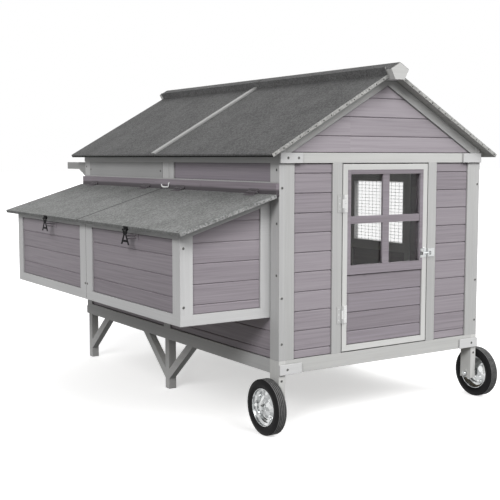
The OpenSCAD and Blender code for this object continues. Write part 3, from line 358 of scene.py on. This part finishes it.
# Roof and lids: plywood decks under bitumen felt faced with grey mineral grit, cut to size and nailed.
# The felt is folded over the eaves and the lids' edges; at the gable ends its pale, gritty cut edge shows.
# The undersides are ply with a grey wash; the roof's is paler than the lids', a painted light on the soffit.

# The grit is about 2 mm across on the real felt and is drawn at 5 mm, so that it shows at this distance.
GRIT = 0.005
FADED_PATCH = 1 / 9
# Bitumen has darkened both edges where two lengths of felt meet. Along the roof's lowest edge the felt is
# painted black, a painted shadow under the eaves.
SEAM_Y = -0.075
# A face belongs to an edge, an end or the underside when it looks that way by at least this much, and the
# ends that count are those out at the gables.
FACING, GABLE_Y = 0.7, 0.5


def mineral_felt(name, shades, low_edge, cut_edge, shadow_below=0.0, below=("#6a6a67", "#9a9a96")):
    """The shades are for the top, the folded low edge, the cut end and the underside, dark and pale of each.
    The low edge's shades are paler than the top's, a painted light on faces turned to the side, and below the
    given height the low edge is painted black, a painted shadow under the eaves."""
    material = bare(bpy.data.materials.new(name))
    spot = add(material, "ShaderNodeTexCoord").outputs
    place = spot["Object"]
    grit = add(material, "ShaderNodeTexVoronoi", {"Vector": place, "Scale": 1 / GRIT})
    fleck = add(material, "ShaderNodeSeparateColor", {0: grit.outputs["Color"]}).outputs[0]
    cloud = add(material, "ShaderNodeTexNoise", {
        "Vector": place, "Scale": 1 / FADED_PATCH, "Detail": 6.0}).outputs["Fac"]
    cloud = add(material, "ShaderNodeMapRange", {"Value": cloud, "To Min": -0.5, "To Max": 0.5}).outputs[0]
    fleck = add(material, "ShaderNodeMath", {0: fleck, 1: cloud}, operation="ADD", use_clamp=True).outputs[0]
    ply = wood_grain(material, place, RUN["y"])
    top, cut, low, ply = (
        add(material, "ShaderNodeMix", {"Factor": speck, COLOUR_A: linear(dark), COLOUR_B: linear(pale)},
            data_type="RGBA").outputs[COLOUR_OUT]
        for speck, (dark, pale) in ((fleck, shades), (fleck, cut_edge), (fleck, low_edge), (ply, below)))
    facing = add(material, "ShaderNodeSeparateXYZ", {0: spot["Normal"]}).outputs
    to_end = add(material, "ShaderNodeMath", {0: facing["Y"]}, operation="ABSOLUTE").outputs[0]
    to_end = add(material, "ShaderNodeMath", {0: to_end, 1: FACING}, operation="GREATER_THAN").outputs[0]
    along = add(material, "ShaderNodeSeparateXYZ", {0: place}).outputs["Y"]
    gable = add(material, "ShaderNodeMath", {0: along}, operation="ABSOLUTE").outputs[0]
    gable = add(material, "ShaderNodeMath", {0: gable, 1: GABLE_Y}, operation="GREATER_THAN").outputs[0]
    to_end = add(material, "ShaderNodeMath", {0: to_end, 1: gable}, operation="MULTIPLY").outputs[0]
    to_floor = add(material, "ShaderNodeMath", {0: facing["Z"], 1: -FACING}, operation="LESS_THAN").outputs[0]
    # A painted shadow: below the given height the low edge is painted black.
    in_shadow = add(material, "ShaderNodeSeparateXYZ", {0: place}).outputs["Z"]
    in_shadow = add(material, "ShaderNodeMath", {0: in_shadow, 1: shadow_below}, operation="LESS_THAN").outputs[0]
    low = add(material, "ShaderNodeMix", {"Factor": in_shadow, COLOUR_A: low, COLOUR_B: linear("#1c1c1c")},
              data_type="RGBA").outputs[COLOUR_OUT]
    # Faces turned to the side take the paler low-edge shades, a painted light.
    to_side = add(material, "ShaderNodeMath", {0: facing["X"]}, operation="ABSOLUTE").outputs[0]
    to_side = add(material, "ShaderNodeMath", {0: to_side, 1: FACING}, operation="GREATER_THAN").outputs[0]
    seam = add(material, "ShaderNodeMath", {0: along, 1: SEAM_Y}, operation="SUBTRACT").outputs[0]
    seam = add(material, "ShaderNodeMath", {0: seam}, operation="ABSOLUTE").outputs[0]
    seam = add(material, "ShaderNodeMapRange", {
        "Value": seam, "From Min": 0.004, "From Max": 0.010, "To Min": 0.6, "To Max": 0.0}).outputs[0]
    colour = add(material, "ShaderNodeMix", {"Factor": seam, COLOUR_A: top, COLOUR_B: linear("#2e2e2d")},
                 data_type="RGBA").outputs[COLOUR_OUT]
    for part, shown in ((to_side, low), (to_end, cut), (to_floor, ply)):
        colour = add(material, "ShaderNodeMix", {"Factor": part, COLOUR_A: colour, COLOUR_B: shown},
                     data_type="RGBA").outputs[COLOUR_OUT]
    bump = add(material, "ShaderNodeBump", {
        "Height": grit.outputs["Distance"], "Strength": 0.5, "Distance": 0.001})
    surface = add(material, "ShaderNodeBsdfPrincipled", {
        "Base Color": colour, "Roughness": 0.9, "Specular IOR Level": 0.15, "Normal": bump.outputs[0]})
    add(material, "ShaderNodeOutputMaterial", {"Surface": surface.outputs[0]})
    return material


# The low edges have paler shades than the tops, and the roof's underside is paler than the lids', as painted
# light.
finish(mineral_felt("grey_mineral_roof_felt", ("#494949", "#656565"), low_edge=("#666666", "#868686"),
                    cut_edge=("#929290", "#bdbdba"), shadow_below=1.005, below=("#9c9c98", "#cacac6")),
       ["roof_felts", "roof_decks"])
finish(mineral_felt("grey_mineral_lid_felt", ("#646564", "#898a89"), low_edge=("#747574", "#949594"),
                    cut_edge=("#757675", "#a4a5a4")), ["front_lid_felt", "rear_lid_felt"])
finish(mineral_felt("folded_felt_on_lid_deck", ("#646564", "#898a89"), low_edge=("#6c6d6c", "#8a8b8a"),
                    cut_edge=("#707170", "#aeafae")), ["front_lid_deck", "rear_lid_deck"])
finish(painted_timber("weathered_grey_paint_on_spruce_battens", ("#90908f", "#a0a09f", "#aaaaa9"), WORN,
                      rails_above=UNDERGROUND), ["roof_battens"])

# The door: a white painted spruce frame round purple-grey planks, with a sash and bars over the window sheet.
# The sheet is cast acrylic, clear and very smooth, pinned behind the bars. Its index is set below acrylic's
# 1.49, because the room's glare on it is faint and the dark inside of the house shows through.
finish(painted_timber("satin_white_paint_on_spruce", ("#ccccca", "#d8d8d6", "#e2e2e0"), 0.45,
                      rails_below=0.294, rails_above=0.952), ["door_frame"])
finish(painted_planks("purple_grey_paint_on_spruce_door", 0.345, ("#7e777d", "#8e878d", "#99929a")),
       ["door_boards", "door_sash", "door_window_bars"])
acrylic = bare(bpy.data.materials.new("clear_cast_acrylic"))
clear = add(acrylic, "ShaderNodeBsdfPrincipled", {
    "Base Color": linear("#f6f6f6"), "Roughness": 0.03, "IOR": 1.33, "Transmission Weight": 1.0})
add(acrylic, "ShaderNodeOutputMaterial", {"Surface": clear.outputs[0]})
finish(acrylic, ["door_pane"])

# Door bolt, axle bolts and hinge pins: pressed or drawn steel with a bright zinc plate.
# The plate is pale and clouded in patches of about 8 mm, so that it mirrors the room softly and unevenly.
CLOUDING = 1 / 120


def plated_steel(name, shades, rough, depth=0.004, deepest=0.6):
    material = bare(bpy.data.materials.new(name))
    place = add(material, "ShaderNodeTexCoord").outputs["Object"]
    cloud = add(material, "ShaderNodeTexNoise", {
        "Vector": place, "Scale": 1 / CLOUDING, "Detail": 3.0}).outputs["Fac"]
    gloss = add(material, "ShaderNodeMapRange", {
        "Value": cloud, "To Min": rough[0], "To Max": rough[1]}).outputs[0]
    plate = add(material, "ShaderNodeMix", {
        "Factor": cloud, COLOUR_A: linear(shades[0]), COLOUR_B: linear(shades[1])},
        data_type="RGBA").outputs[COLOUR_OUT]
    # Corners are darkened as painted shade.
    plate = shade_in_corners(material, plate, depth, deepest)
    surface = add(material, "ShaderNodeBsdfPrincipled", {
        "Base Color": plate, "Metallic": 1.0, "Roughness": gloss})
    add(material, "ShaderNodeOutputMaterial", {"Surface": surface.outputs[0]})
    return material


bright_zinc = plated_steel("bright_zinc_plate", ("#d2d4d4", "#e2e4e4"), (0.25, 0.45))
finish(bright_zinc, ["hinge_pins", "door_bolt", "door_bolt_guide", "bolt_keeper", "axle_bolts"])

# Window mesh: drawn wire, spot welded into a square grid and then dipped in zinc, stapled behind the frames.
# The thick dip is pale and dull and is given no painted shade in its corners, so the wires stay light against
# the daylight behind them.
finish(plated_steel("hot_dipped_mesh_wire", ("#f4f5f5", "#fcfcfc"), (0.5, 0.7), depth=0.001, deepest=1.0),
       ["right_window_mesh"])

# Door hinges: steel butts that were sprayed with the frames they are screwed to, grey on the house and white
# on the door. The paint has worn through to the zinc along the sharp edges of the knuckles and leaves, and
# has dried with a peel of about 2.5 mm.
PEEL = 0.0025
SHEET_EDGE = 0.0008


def sprayed_steel(name, shades, roughness):
    material = bare(bpy.data.materials.new(name))
    place = add(material, "ShaderNodeTexCoord").outputs["Object"]
    peel = add(material, "ShaderNodeTexNoise", {
        "Vector": place, "Scale": 1 / PEEL, "Detail": 3.0}).outputs["Fac"]
    paint = add(material, "ShaderNodeMix", {
        "Factor": peel, COLOUR_A: linear(shades[0]), COLOUR_B: linear(shades[1])},
        data_type="RGBA").outputs[COLOUR_OUT]
    eased, worn = rounded_edges(material, SHEET_EDGE)
    worn = add(material, "ShaderNodeMath", {0: worn, 1: peel}, operation="ADD").outputs[0]
    worn = add(material, "ShaderNodeMapRange", {
        "Value": worn, "From Min": 1.36, "From Max": 1.26, "To Max": 0.7}).outputs[0]
    paint = add(material, "ShaderNodeMix", {"Factor": worn, COLOUR_A: paint, COLOUR_B: linear("#a9abab")},
                data_type="RGBA").outputs[COLOUR_OUT]
    bump = add(material, "ShaderNodeBump", {
        "Height": peel, "Normal": eased, "Strength": 0.2, "Distance": 0.0002})
    surface = add(material, "ShaderNodeBsdfPrincipled", {
        "Base Color": paint, "Roughness": roughness, "Specular IOR Level": 0.3, "Normal": bump.outputs[0]})
    add(material, "ShaderNodeOutputMaterial", {"Surface": surface.outputs[0]})
    return material


finish(sprayed_steel("grey_paint_on_hinge_steel", ("#b4b4b3", "#c2c2c1"), 0.45), ["door_hinge_plates"])
finish(sprayed_steel("white_paint_on_hinge_steel", ("#e0e0df", "#ebebea"), 0.4), ["door_hinge_leaves"])

# Hasps: straps and knuckles pressed from sheet steel, with a black powder coat that has an orange-peel skin.
# They hang from the lids' low edges. The skin's dimples are half a millimetre across and are drawn at 1 mm.
DIMPLE = 0.001
powder = bare(bpy.data.materials.new("black_powder_coat"))
coat = add(powder, "ShaderNodeTexNoise", {
    "Vector": add(powder, "ShaderNodeTexCoord").outputs["Object"],
    "Scale": 1 / DIMPLE, "Detail": 2.0}).outputs["Fac"]
coat_tint = add(powder, "ShaderNodeMix", {
    "Factor": coat, COLOUR_A: linear("#050506"), COLOUR_B: linear("#0f0e11")},
    data_type="RGBA").outputs[COLOUR_OUT]
coat_bump = add(powder, "ShaderNodeBump", {"Height": coat, "Strength": 0.2, "Distance": 0.0002})
coat_skin = add(powder, "ShaderNodeBsdfPrincipled", {
    "Base Color": coat_tint, "Roughness": 0.6, "Specular IOR Level": 0.08, "Normal": coat_bump.outputs[0]})
add(powder, "ShaderNodeOutputMaterial", {"Surface": coat_skin.outputs[0]})
finish(powder, ["front_hasp", "rear_hasp", "front_lid_hardware", "rear_lid_hardware"])

# Staples and lid hinges: the staples were screwed on before the planks were sprayed and share their paint.
# The hinges along the lids are painted the same dark as the painted shadow on the rail.
HINGE_END_X = -100
staple_paint = sprayed_steel("purple_grey_paint_on_staple_steel", ("#857e84", "#918a90"), 0.5)
finish(staple_paint, ["hasp_staples"])
shadow_band_paint = sprayed_steel("shadow_band_paint_on_lid_hinge_steel", ("#544f53", "#605b5f"), 0.6)
finish(shadow_band_paint, ["lid_hinge_plates"])
for name in ("front_lid_hardware", "rear_lid_hardware"):
    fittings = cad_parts[name].data
    fittings.materials.append(shadow_band_paint)
    for face in fittings.polygons:
        face.material_index = int(face.center.x > at(HINGE_END_X, 0, 0).x)

# Frame screws: countersunk steel screws through the corner blocks, posts and stiles, in dished cup washers.
# The heads are blackened and have a cross recess, and no two stopped at the same angle.
HOUSE_WIDE, HOUSE_LONG = 1000, 1684
BLOCK_THICK, NEST_DEEP, NEST_INSET = 8, 371, 56
FRONT, BACK, LEFT, RIGHT = (0, -1, 0), (0, 1, 0), (-1, 0, 0), (1, 0, 0)
SCREW_TURN = 37
CUP_WASHER = [(5.4, -0.3), (5.2, 0.7), (4.4, 1.3), (3.9, 0.9)]
COUNTERSUNK = [(3.8, 0.7), (3.7, 1.2), (3.0, 1.6)]


def seat(place, outward, turn=0.0, size=1.0):
    """Stands a fastener that is drawn in millimetres on a surface, looking out of it."""
    return (Matrix.Translation(place) @ Vector(outward).to_track_quat("Z", "Y").to_matrix().to_4x4()
            @ Matrix.Rotation(math.radians(turn), 4, "Z") @ Matrix.Scale(size / 1000, 4))


def turned(shape, stand, rings, sides=18, capped=True):
    """Adds a closed form of (radius, height) rings, as a lathe or a header makes it."""
    loops = [[shape.verts.new(stand @ Vector((radius * math.cos(2 * math.pi * i / sides),
                                              radius * math.sin(2 * math.pi * i / sides), height)))
              for i in range(sides)] for radius, height in rings]
    for low, high in zip(loops, loops[1:]):
        for i in range(sides):
            shape.faces.new((low[i - 1], low[i], high[i], high[i - 1]))
    shape.faces.new(loops[0])
    if capped:
        shape.faces.new(loops[-1])
    return loops[-1]


def cross_head(shape, stand, rings, half_width, arm, depth):
    """Adds a screw head whose top has a cross recess with arms that taper to its floor."""
    rim = turned(shape, stand, rings, sides=24, capped=False)
    top, taper = rings[-1][1], 0.75
    quarters = ((1, 0), (0, 1), (-1, 0), (0, -1))
    outline = [(arm, half_width), (half_width, half_width), (half_width, arm)]
    outline = [(x * c - y * s, x * s + y * c) for c, s in quarters for x, y in outline]
    mouth = [shape.verts.new(stand @ Vector((x, y, top))) for x, y in outline]
    bottom = [shape.verts.new(stand @ Vector((taper * x, taper * y, top - depth))) for x, y in outline]
    edges = [shape.edges.get((rim[i - 1], rim[i])) for i in range(len(rim))]
    edges += [shape.edges.new((mouth[i - 1], mouth[i])) for i in range(len(mouth))]
    bmesh.ops.triangle_fill(shape, edges=edges, use_beauty=True)
    for i in range(len(mouth)):
        shape.faces.new((mouth[i - 1], mouth[i], bottom[i], bottom[i - 1]))
    shape.faces.new(bottom)


def fixed_on(name, body, material, shape):
    bmesh.ops.recalc_face_normals(shape, faces=shape.faces)
    mesh = bpy.data.meshes.new(name)
    shape.to_mesh(mesh)
    shape.free()
    mesh.materials.append(material)
    piece = bpy.data.objects.new(name, mesh)
    scene.collection.objects.link(piece)
    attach(piece, body)


frame_screws = []
for x, z in ((33, 996.5), (79, 996.5), (33, 235.5), (967, 235.5)):
    frame_screws += [((x, -BLOCK_THICK, z), FRONT), ((x, HOUSE_LONG + BLOCK_THICK, z), BACK)]
for inset, z in ((16, 954), (15, 763), (16, 577)):
    for y in (inset, HOUSE_LONG - inset):
        frame_screws += [((0, y, z), LEFT), ((HOUSE_WIDE, y, z), RIGHT)]
for x, z in ((12, 890), (12, 496), (988, 890), (988, 496), (988, 329), (12, 329)):
    frame_screws += [((x, 0, z), FRONT), ((x, HOUSE_LONG, z), BACK)]
frame_screws += [((12.6, 0, 195), FRONT), ((987, 0, 191), FRONT)]
for z in (690, 487):
    frame_screws += [((-358, NEST_INSET, z), FRONT), ((-358, HOUSE_LONG - NEST_INSET, z), BACK)]
frame_screws += [((-NEST_DEEP, y, 486), LEFT) for y in (832, 852)]
frame_screws += [((0, y, 941), LEFT) for y in (889, 1615)]

black_oxide = plated_steel("blackened_screw_steel", ("#3c3c3d", "#58585a"), (0.35, 0.5))
cup_zinc = plated_steel("yellowed_zinc_cup_washers", ("#8f8f8b", "#a8a8a4"), (0.4, 0.55))
washers, heads = bmesh.new(), bmesh.new()
for number, (place, outward) in enumerate(frame_screws):
    stand = seat(at(*place), outward, SCREW_TURN * number)
    turned(washers, stand, CUP_WASHER)
    cross_head(heads, stand, COUNTERSUNK, half_width=0.55, arm=2.1, depth=0.9)
fixed_on("screw_cup_washers", "house", cup_zinc, washers)
fixed_on("frame_screw_heads", "house", black_oxide, heads)

# Hinge and bolt screws: small pan-head screws through the leaves and plates, zinc plated like the fittings.
# The same screws fix the staples' plates to the nest planks, under the planks' paint.
PAN_HEAD, PAN_SIZE = [(3.2, -0.3), (3.1, 0.7), (2.5, 1.3), (2.2, 1.4)], 0.75
LEAF_FACE, STAPLE_FACE, STAPLE_HEIGHT = -1.5, -367, 706.94
hinge_rows = [z + side for z in (413, 828) for side in (-20, 0, 20)]
house_screws = [((271.5, LEAF_FACE, z), FRONT) for z in hinge_rows]
house_screws += [((x, LEAF_FACE, z), FRONT) for x in (722, 749) for z in (611.5, 634.5)]
staple_screws = [((STAPLE_FACE, y + side, STAPLE_HEIGHT), LEFT) for y in (398, 1188) for side in (-13, 13)]
door_screws = [((300.5, LEAF_FACE, z), FRONT) for z in hinge_rows]
door_screws += [((x, LEAF_FACE, z), FRONT) for x in (683, 707) for z in (609, 637)]
for name, body, places, plate in (("house_fitting_screws", "house", house_screws, bright_zinc),
                                  ("staple_screws", "house", staple_screws, staple_paint),
                                  ("door_fitting_screws", "door", door_screws, bright_zinc)):
    heads = bmesh.new()
    for number, (place, outward) in enumerate(places):
        stand = seat(at(*place), outward, SCREW_TURN * number, PAN_SIZE)
        cross_head(heads, stand, PAN_HEAD, half_width=0.45, arm=1.6, depth=0.9)
    fixed_on(name, body, plate, heads)

# Felt nails: broad clout nails along the gable edges of the roof, and at the corners of the lids' low edges.
# They were dipped in bitumen and show as dark specks. On a slope they are placed down it from its top edge.
ROOF_SLOPE, LID_SLOPE = math.radians(29.5), math.radians(17)
RIDGE_HEIGHT, OVERHANG, EDGE_MIDDLE = 1311.5, 38, 5
ROOF_NAILS, FIRST_NAIL, NAIL_SPACING, NAIL_TURN = 15, 60, 40, 31
ROOF_NAIL = [(2.8, -0.3), (2.7, 0.5), (1.6, 0.9)]
roof_nails = bmesh.new()
for y, outward in ((-OVERHANG, FRONT), (HOUSE_LONG + OVERHANG, BACK)):
    for mirror in (-1, 1):
        for step in range(ROOF_NAILS):
            down = FIRST_NAIL + NAIL_SPACING * step
            x = HOUSE_WIDE / 2 + mirror * (math.cos(ROOF_SLOPE) * down + math.sin(ROOF_SLOPE) * EDGE_MIDDLE)
            z = RIDGE_HEIGHT - math.sin(ROOF_SLOPE) * down + math.cos(ROOF_SLOPE) * EDGE_MIDDLE
            turned(roof_nails, seat(at(x, y, z), outward, NAIL_TURN * step), ROOF_NAIL, sides=12)
bitumen = plated_steel("bitumen_dipped_nail_steel", ("#3a3a39", "#5c5c5a"), (0.45, 0.6))
fixed_on("roof_clout_nails", "house", bitumen, roof_nails)

LID_TOP_X, LID_TOP_Z, LID_NAIL_DOWN = -19, 868, 396
LID_NAIL = [(4.2, -0.3), (4.0, 0.6), (2.4, 1.1)]
lid_outward = (-math.sin(LID_SLOPE), 0, math.cos(LID_SLOPE))
for name, body, ends in (("front_lid_clout_nails", "front_lid", (24, 812)),
                         ("rear_lid_clout_nails", "rear_lid", (872, 1660))):
    nails = bmesh.new()
    for y in ends:
        place = at(LID_TOP_X - math.cos(LID_SLOPE) * LID_NAIL_DOWN, y,
                   LID_TOP_Z - math.sin(LID_SLOPE) * LID_NAIL_DOWN)
        turned(nails, seat(place, lid_outward, turn=y), LID_NAIL, sides=14)
    fixed_on(name, body, bitumen, nails)

# Lid stay: a cabin hook bent from flat white plastic-coated wire, hanging from an eye in the hinge rail.
# It lies along the rail above the lids, clear of them as they open.
WIRE_THICK, WIRE_WIDE, WIRE_SIDES = 2.1, 3.4, 12
HOOK_EYE = [(4.2, -0.3), (4.0, 0.5), (2.6, 1.0)]
bends = [(-12, 787, 892), (-14.6, 787, 891.6), (-16.2, 787.3, 889), (-16.2, 788, 883), (-16.2, 791, 877.2),
         (-16.2, 798, 874.8), (-16.2, 812, 874.2), (-16.2, 828, 874.2), (-16.2, 840, 875.2),
         (-16.2, 848, 879.6), (-16.2, 851, 886)]
path = []
for i in range(len(bends) - 1):
    before, start, end, after = (Vector(bends[max(0, min(len(bends) - 1, i + k))]) for k in (-1, 0, 1, 2))
    for part in (0, 0.25, 0.5, 0.75):
        path.append(0.5 * (2 * start + (end - before) * part
                           + (2 * before - 5 * start + 4 * end - after) * part ** 2
                           + (3 * start - before - 3 * end + after) * part ** 3))
path.append(Vector(bends[-1]))
hook = bmesh.new()
hoops, side = [], Vector((0, 1, 0))
for i, point in enumerate(path):
    forward = (path[min(i + 1, len(path) - 1)] - path[max(i - 1, 0)]).normalized()
    side = (side - forward * side.dot(forward)).normalized()
    over = forward.cross(side)
    angles = (2 * math.pi * k / WIRE_SIDES for k in range(WIRE_SIDES))
    hoop = (point + WIRE_WIDE * math.cos(a) * side + WIRE_THICK * math.sin(a) * over for a in angles)
    hoops.append([hook.verts.new(at(*corner_point)) for corner_point in hoop])
for low, high in zip(hoops, hoops[1:]):
    for k in range(WIRE_SIDES):
        hook.faces.new((low[k - 1], low[k], high[k], high[k - 1]))
hook.faces.new(hoops[0])
hook.faces.new(hoops[-1])
turned(hook, seat(at(-14, 787, 892), LEFT), HOOK_EYE, sides=16)
white_plastic = sprayed_steel("white_plastic_on_hook_wire", ("#e9e9e8", "#f2f2f1"), 0.35)
fixed_on("lid_stay_hook", "house", white_plastic, hook)

# Rims: two dished halves pressed from steel sheet, galvanised and held together by four bolts. The dip has
# set in crystals about 14 mm across with wavering edges, each of its own brightness, and the corners of the
# dish are darkened as painted shade.
SPANGLE, WAVE, WAVER = 0.014, 1 / 90, 0.008
galvanised = bare(bpy.data.materials.new("galvanised_rim_steel"))
place = add(galvanised, "ShaderNodeTexCoord").outputs["Object"]
warp = add(galvanised, "ShaderNodeTexNoise", {
    "Vector": place, "Scale": 1 / WAVE, "Detail": 2.0}).outputs["Color"]
warp = add(galvanised, "ShaderNodeVectorMath", {0: warp, 1: (WAVER, WAVER, WAVER)},
           operation="MULTIPLY").outputs[0]
place = add(galvanised, "ShaderNodeVectorMath", {0: place, 1: warp}, operation="ADD").outputs[0]
crystal = add(galvanised, "ShaderNodeTexVoronoi", {"Vector": place, "Scale": 1 / SPANGLE}).outputs["Color"]
crystal = add(galvanised, "ShaderNodeSeparateColor", {0: crystal}).outputs[0]
zinc = add(galvanised, "ShaderNodeMix", {
    "Factor": crystal, COLOUR_A: linear("#9c9e9f"), COLOUR_B: linear("#f0f2f2")},
    data_type="RGBA").outputs[COLOUR_OUT]
# The dish's corners are darkened as painted shade.
zinc = shade_in_corners(galvanised, zinc, depth=0.014, deepest=0.3)
gloss = add(galvanised, "ShaderNodeMapRange", {"Value": crystal, "To Min": 0.28, "To Max": 0.10}).outputs[0]
zinc = add(galvanised, "ShaderNodeBsdfPrincipled", {"Base Color": zinc, "Metallic": 1.0, "Roughness": gloss})
add(galvanised, "ShaderNodeOutputMaterial", {"Surface": zinc.outputs[0]})
finish(galvanised, ["left_rim", "right_rim"])

# Tyres: moulded rubber with five ribs, matt and black on the walls and pulled over the rims. The ribs are
# rubbed grey with dust in patches of about 17 mm and made paler still as a painted highlight, and the
# grooves between them are darkened as painted shade.
DUST_PATCH = 1 / 60
rubber = bare(bpy.data.materials.new("moulded_black_rubber"))
spot = add(rubber, "ShaderNodeTexCoord").outputs
dust = add(rubber, "ShaderNodeTexNoise", {
    "Vector": spot["Object"], "Scale": 1 / DUST_PATCH, "Detail": 5.0}).outputs["Fac"]
wall = add(rubber, "ShaderNodeMix", {
    "Factor": dust, COLOUR_A: linear("#08080a"), COLOUR_B: linear("#141415")},
    data_type="RGBA").outputs[COLOUR_OUT]
# The tread is pale partly from dust and partly as a painted highlight on the ribs.
dusty_highlit_tread = add(rubber, "ShaderNodeMix", {
    "Factor": dust, COLOUR_A: linear("#363636"), COLOUR_B: linear("#787878")},
    data_type="RGBA").outputs[COLOUR_OUT]
# The grooves between the ribs are darkened as painted shade.
dusty_highlit_tread = shade_in_corners(rubber, dusty_highlit_tread, depth=0.006, deepest=0.1)
sideways = add(rubber, "ShaderNodeSeparateXYZ", {0: spot["Normal"]}).outputs["X"]
sideways = add(rubber, "ShaderNodeMath", {0: sideways}, operation="ABSOLUTE").outputs[0]
sideways = add(rubber, "ShaderNodeMapRange", {
    "Value": sideways, "From Min": 0.2, "From Max": 0.5}).outputs[0]
tint = add(rubber, "ShaderNodeMix", {"Factor": sideways, COLOUR_A: dusty_highlit_tread, COLOUR_B: wall},
           data_type="RGBA").outputs[COLOUR_OUT]
grain = add(rubber, "ShaderNodeBump", {"Height": dust, "Strength": 0.15, "Distance": 0.0005})
rubber_skin = add(rubber, "ShaderNodeBsdfPrincipled", {
    "Base Color": tint, "Roughness": 0.6, "Specular IOR Level": 0.2, "Normal": grain.outputs[0]})
add(rubber, "ShaderNodeOutputMaterial", {"Surface": rubber_skin.outputs[0]})
finish(rubber, ["left_tyre", "right_tyre"])

# Rim bolts: four hexagon bolts with plain washers through the two halves of each rim, with nuts on the inner
# side. They are zinc plated and sit on the flat ring between the rim's lip and its hub.
AXLE_Y, AXLE_Z = 26, 102
BOLT_CIRCLE, BOLT_SEAT, BOLT_TURN = 50, 5.4, 23
PLAIN_WASHER = [(7.0, -1.2), (7.0, 1.0), (6.6, 1.3)]
HEXAGON = [(5.6, 1.2), (5.6, 4.6), (4.9, 5.2)]
BOLT_END = [(3.0, 5.1), (3.0, 7.0), (2.5, 7.5)]
for name, body, middle, outside in (("left_rim_bolts", "left_wheel", -34.5, LEFT),
                                    ("right_rim_bolts", "right_wheel", 1034.5, RIGHT)):
    bolts = bmesh.new()
    for quarter in range(4):
        angle = math.radians(45 + 90 * quarter)
        for way in (1, -1):
            place = at(middle + way * outside[0] * BOLT_SEAT, AXLE_Y + BOLT_CIRCLE * math.cos(angle),
                       AXLE_Z + BOLT_CIRCLE * math.sin(angle))
            stand = seat(place, (way * outside[0], 0, 0), BOLT_TURN * quarter)
            turned(bolts, stand, PLAIN_WASHER)
            turned(bolts, stand, HEXAGON, sides=6)
            if way < 0:
                turned(bolts, stand, BOLT_END, sides=14)
    fixed_on(name, body, bright_zinc, bolts)
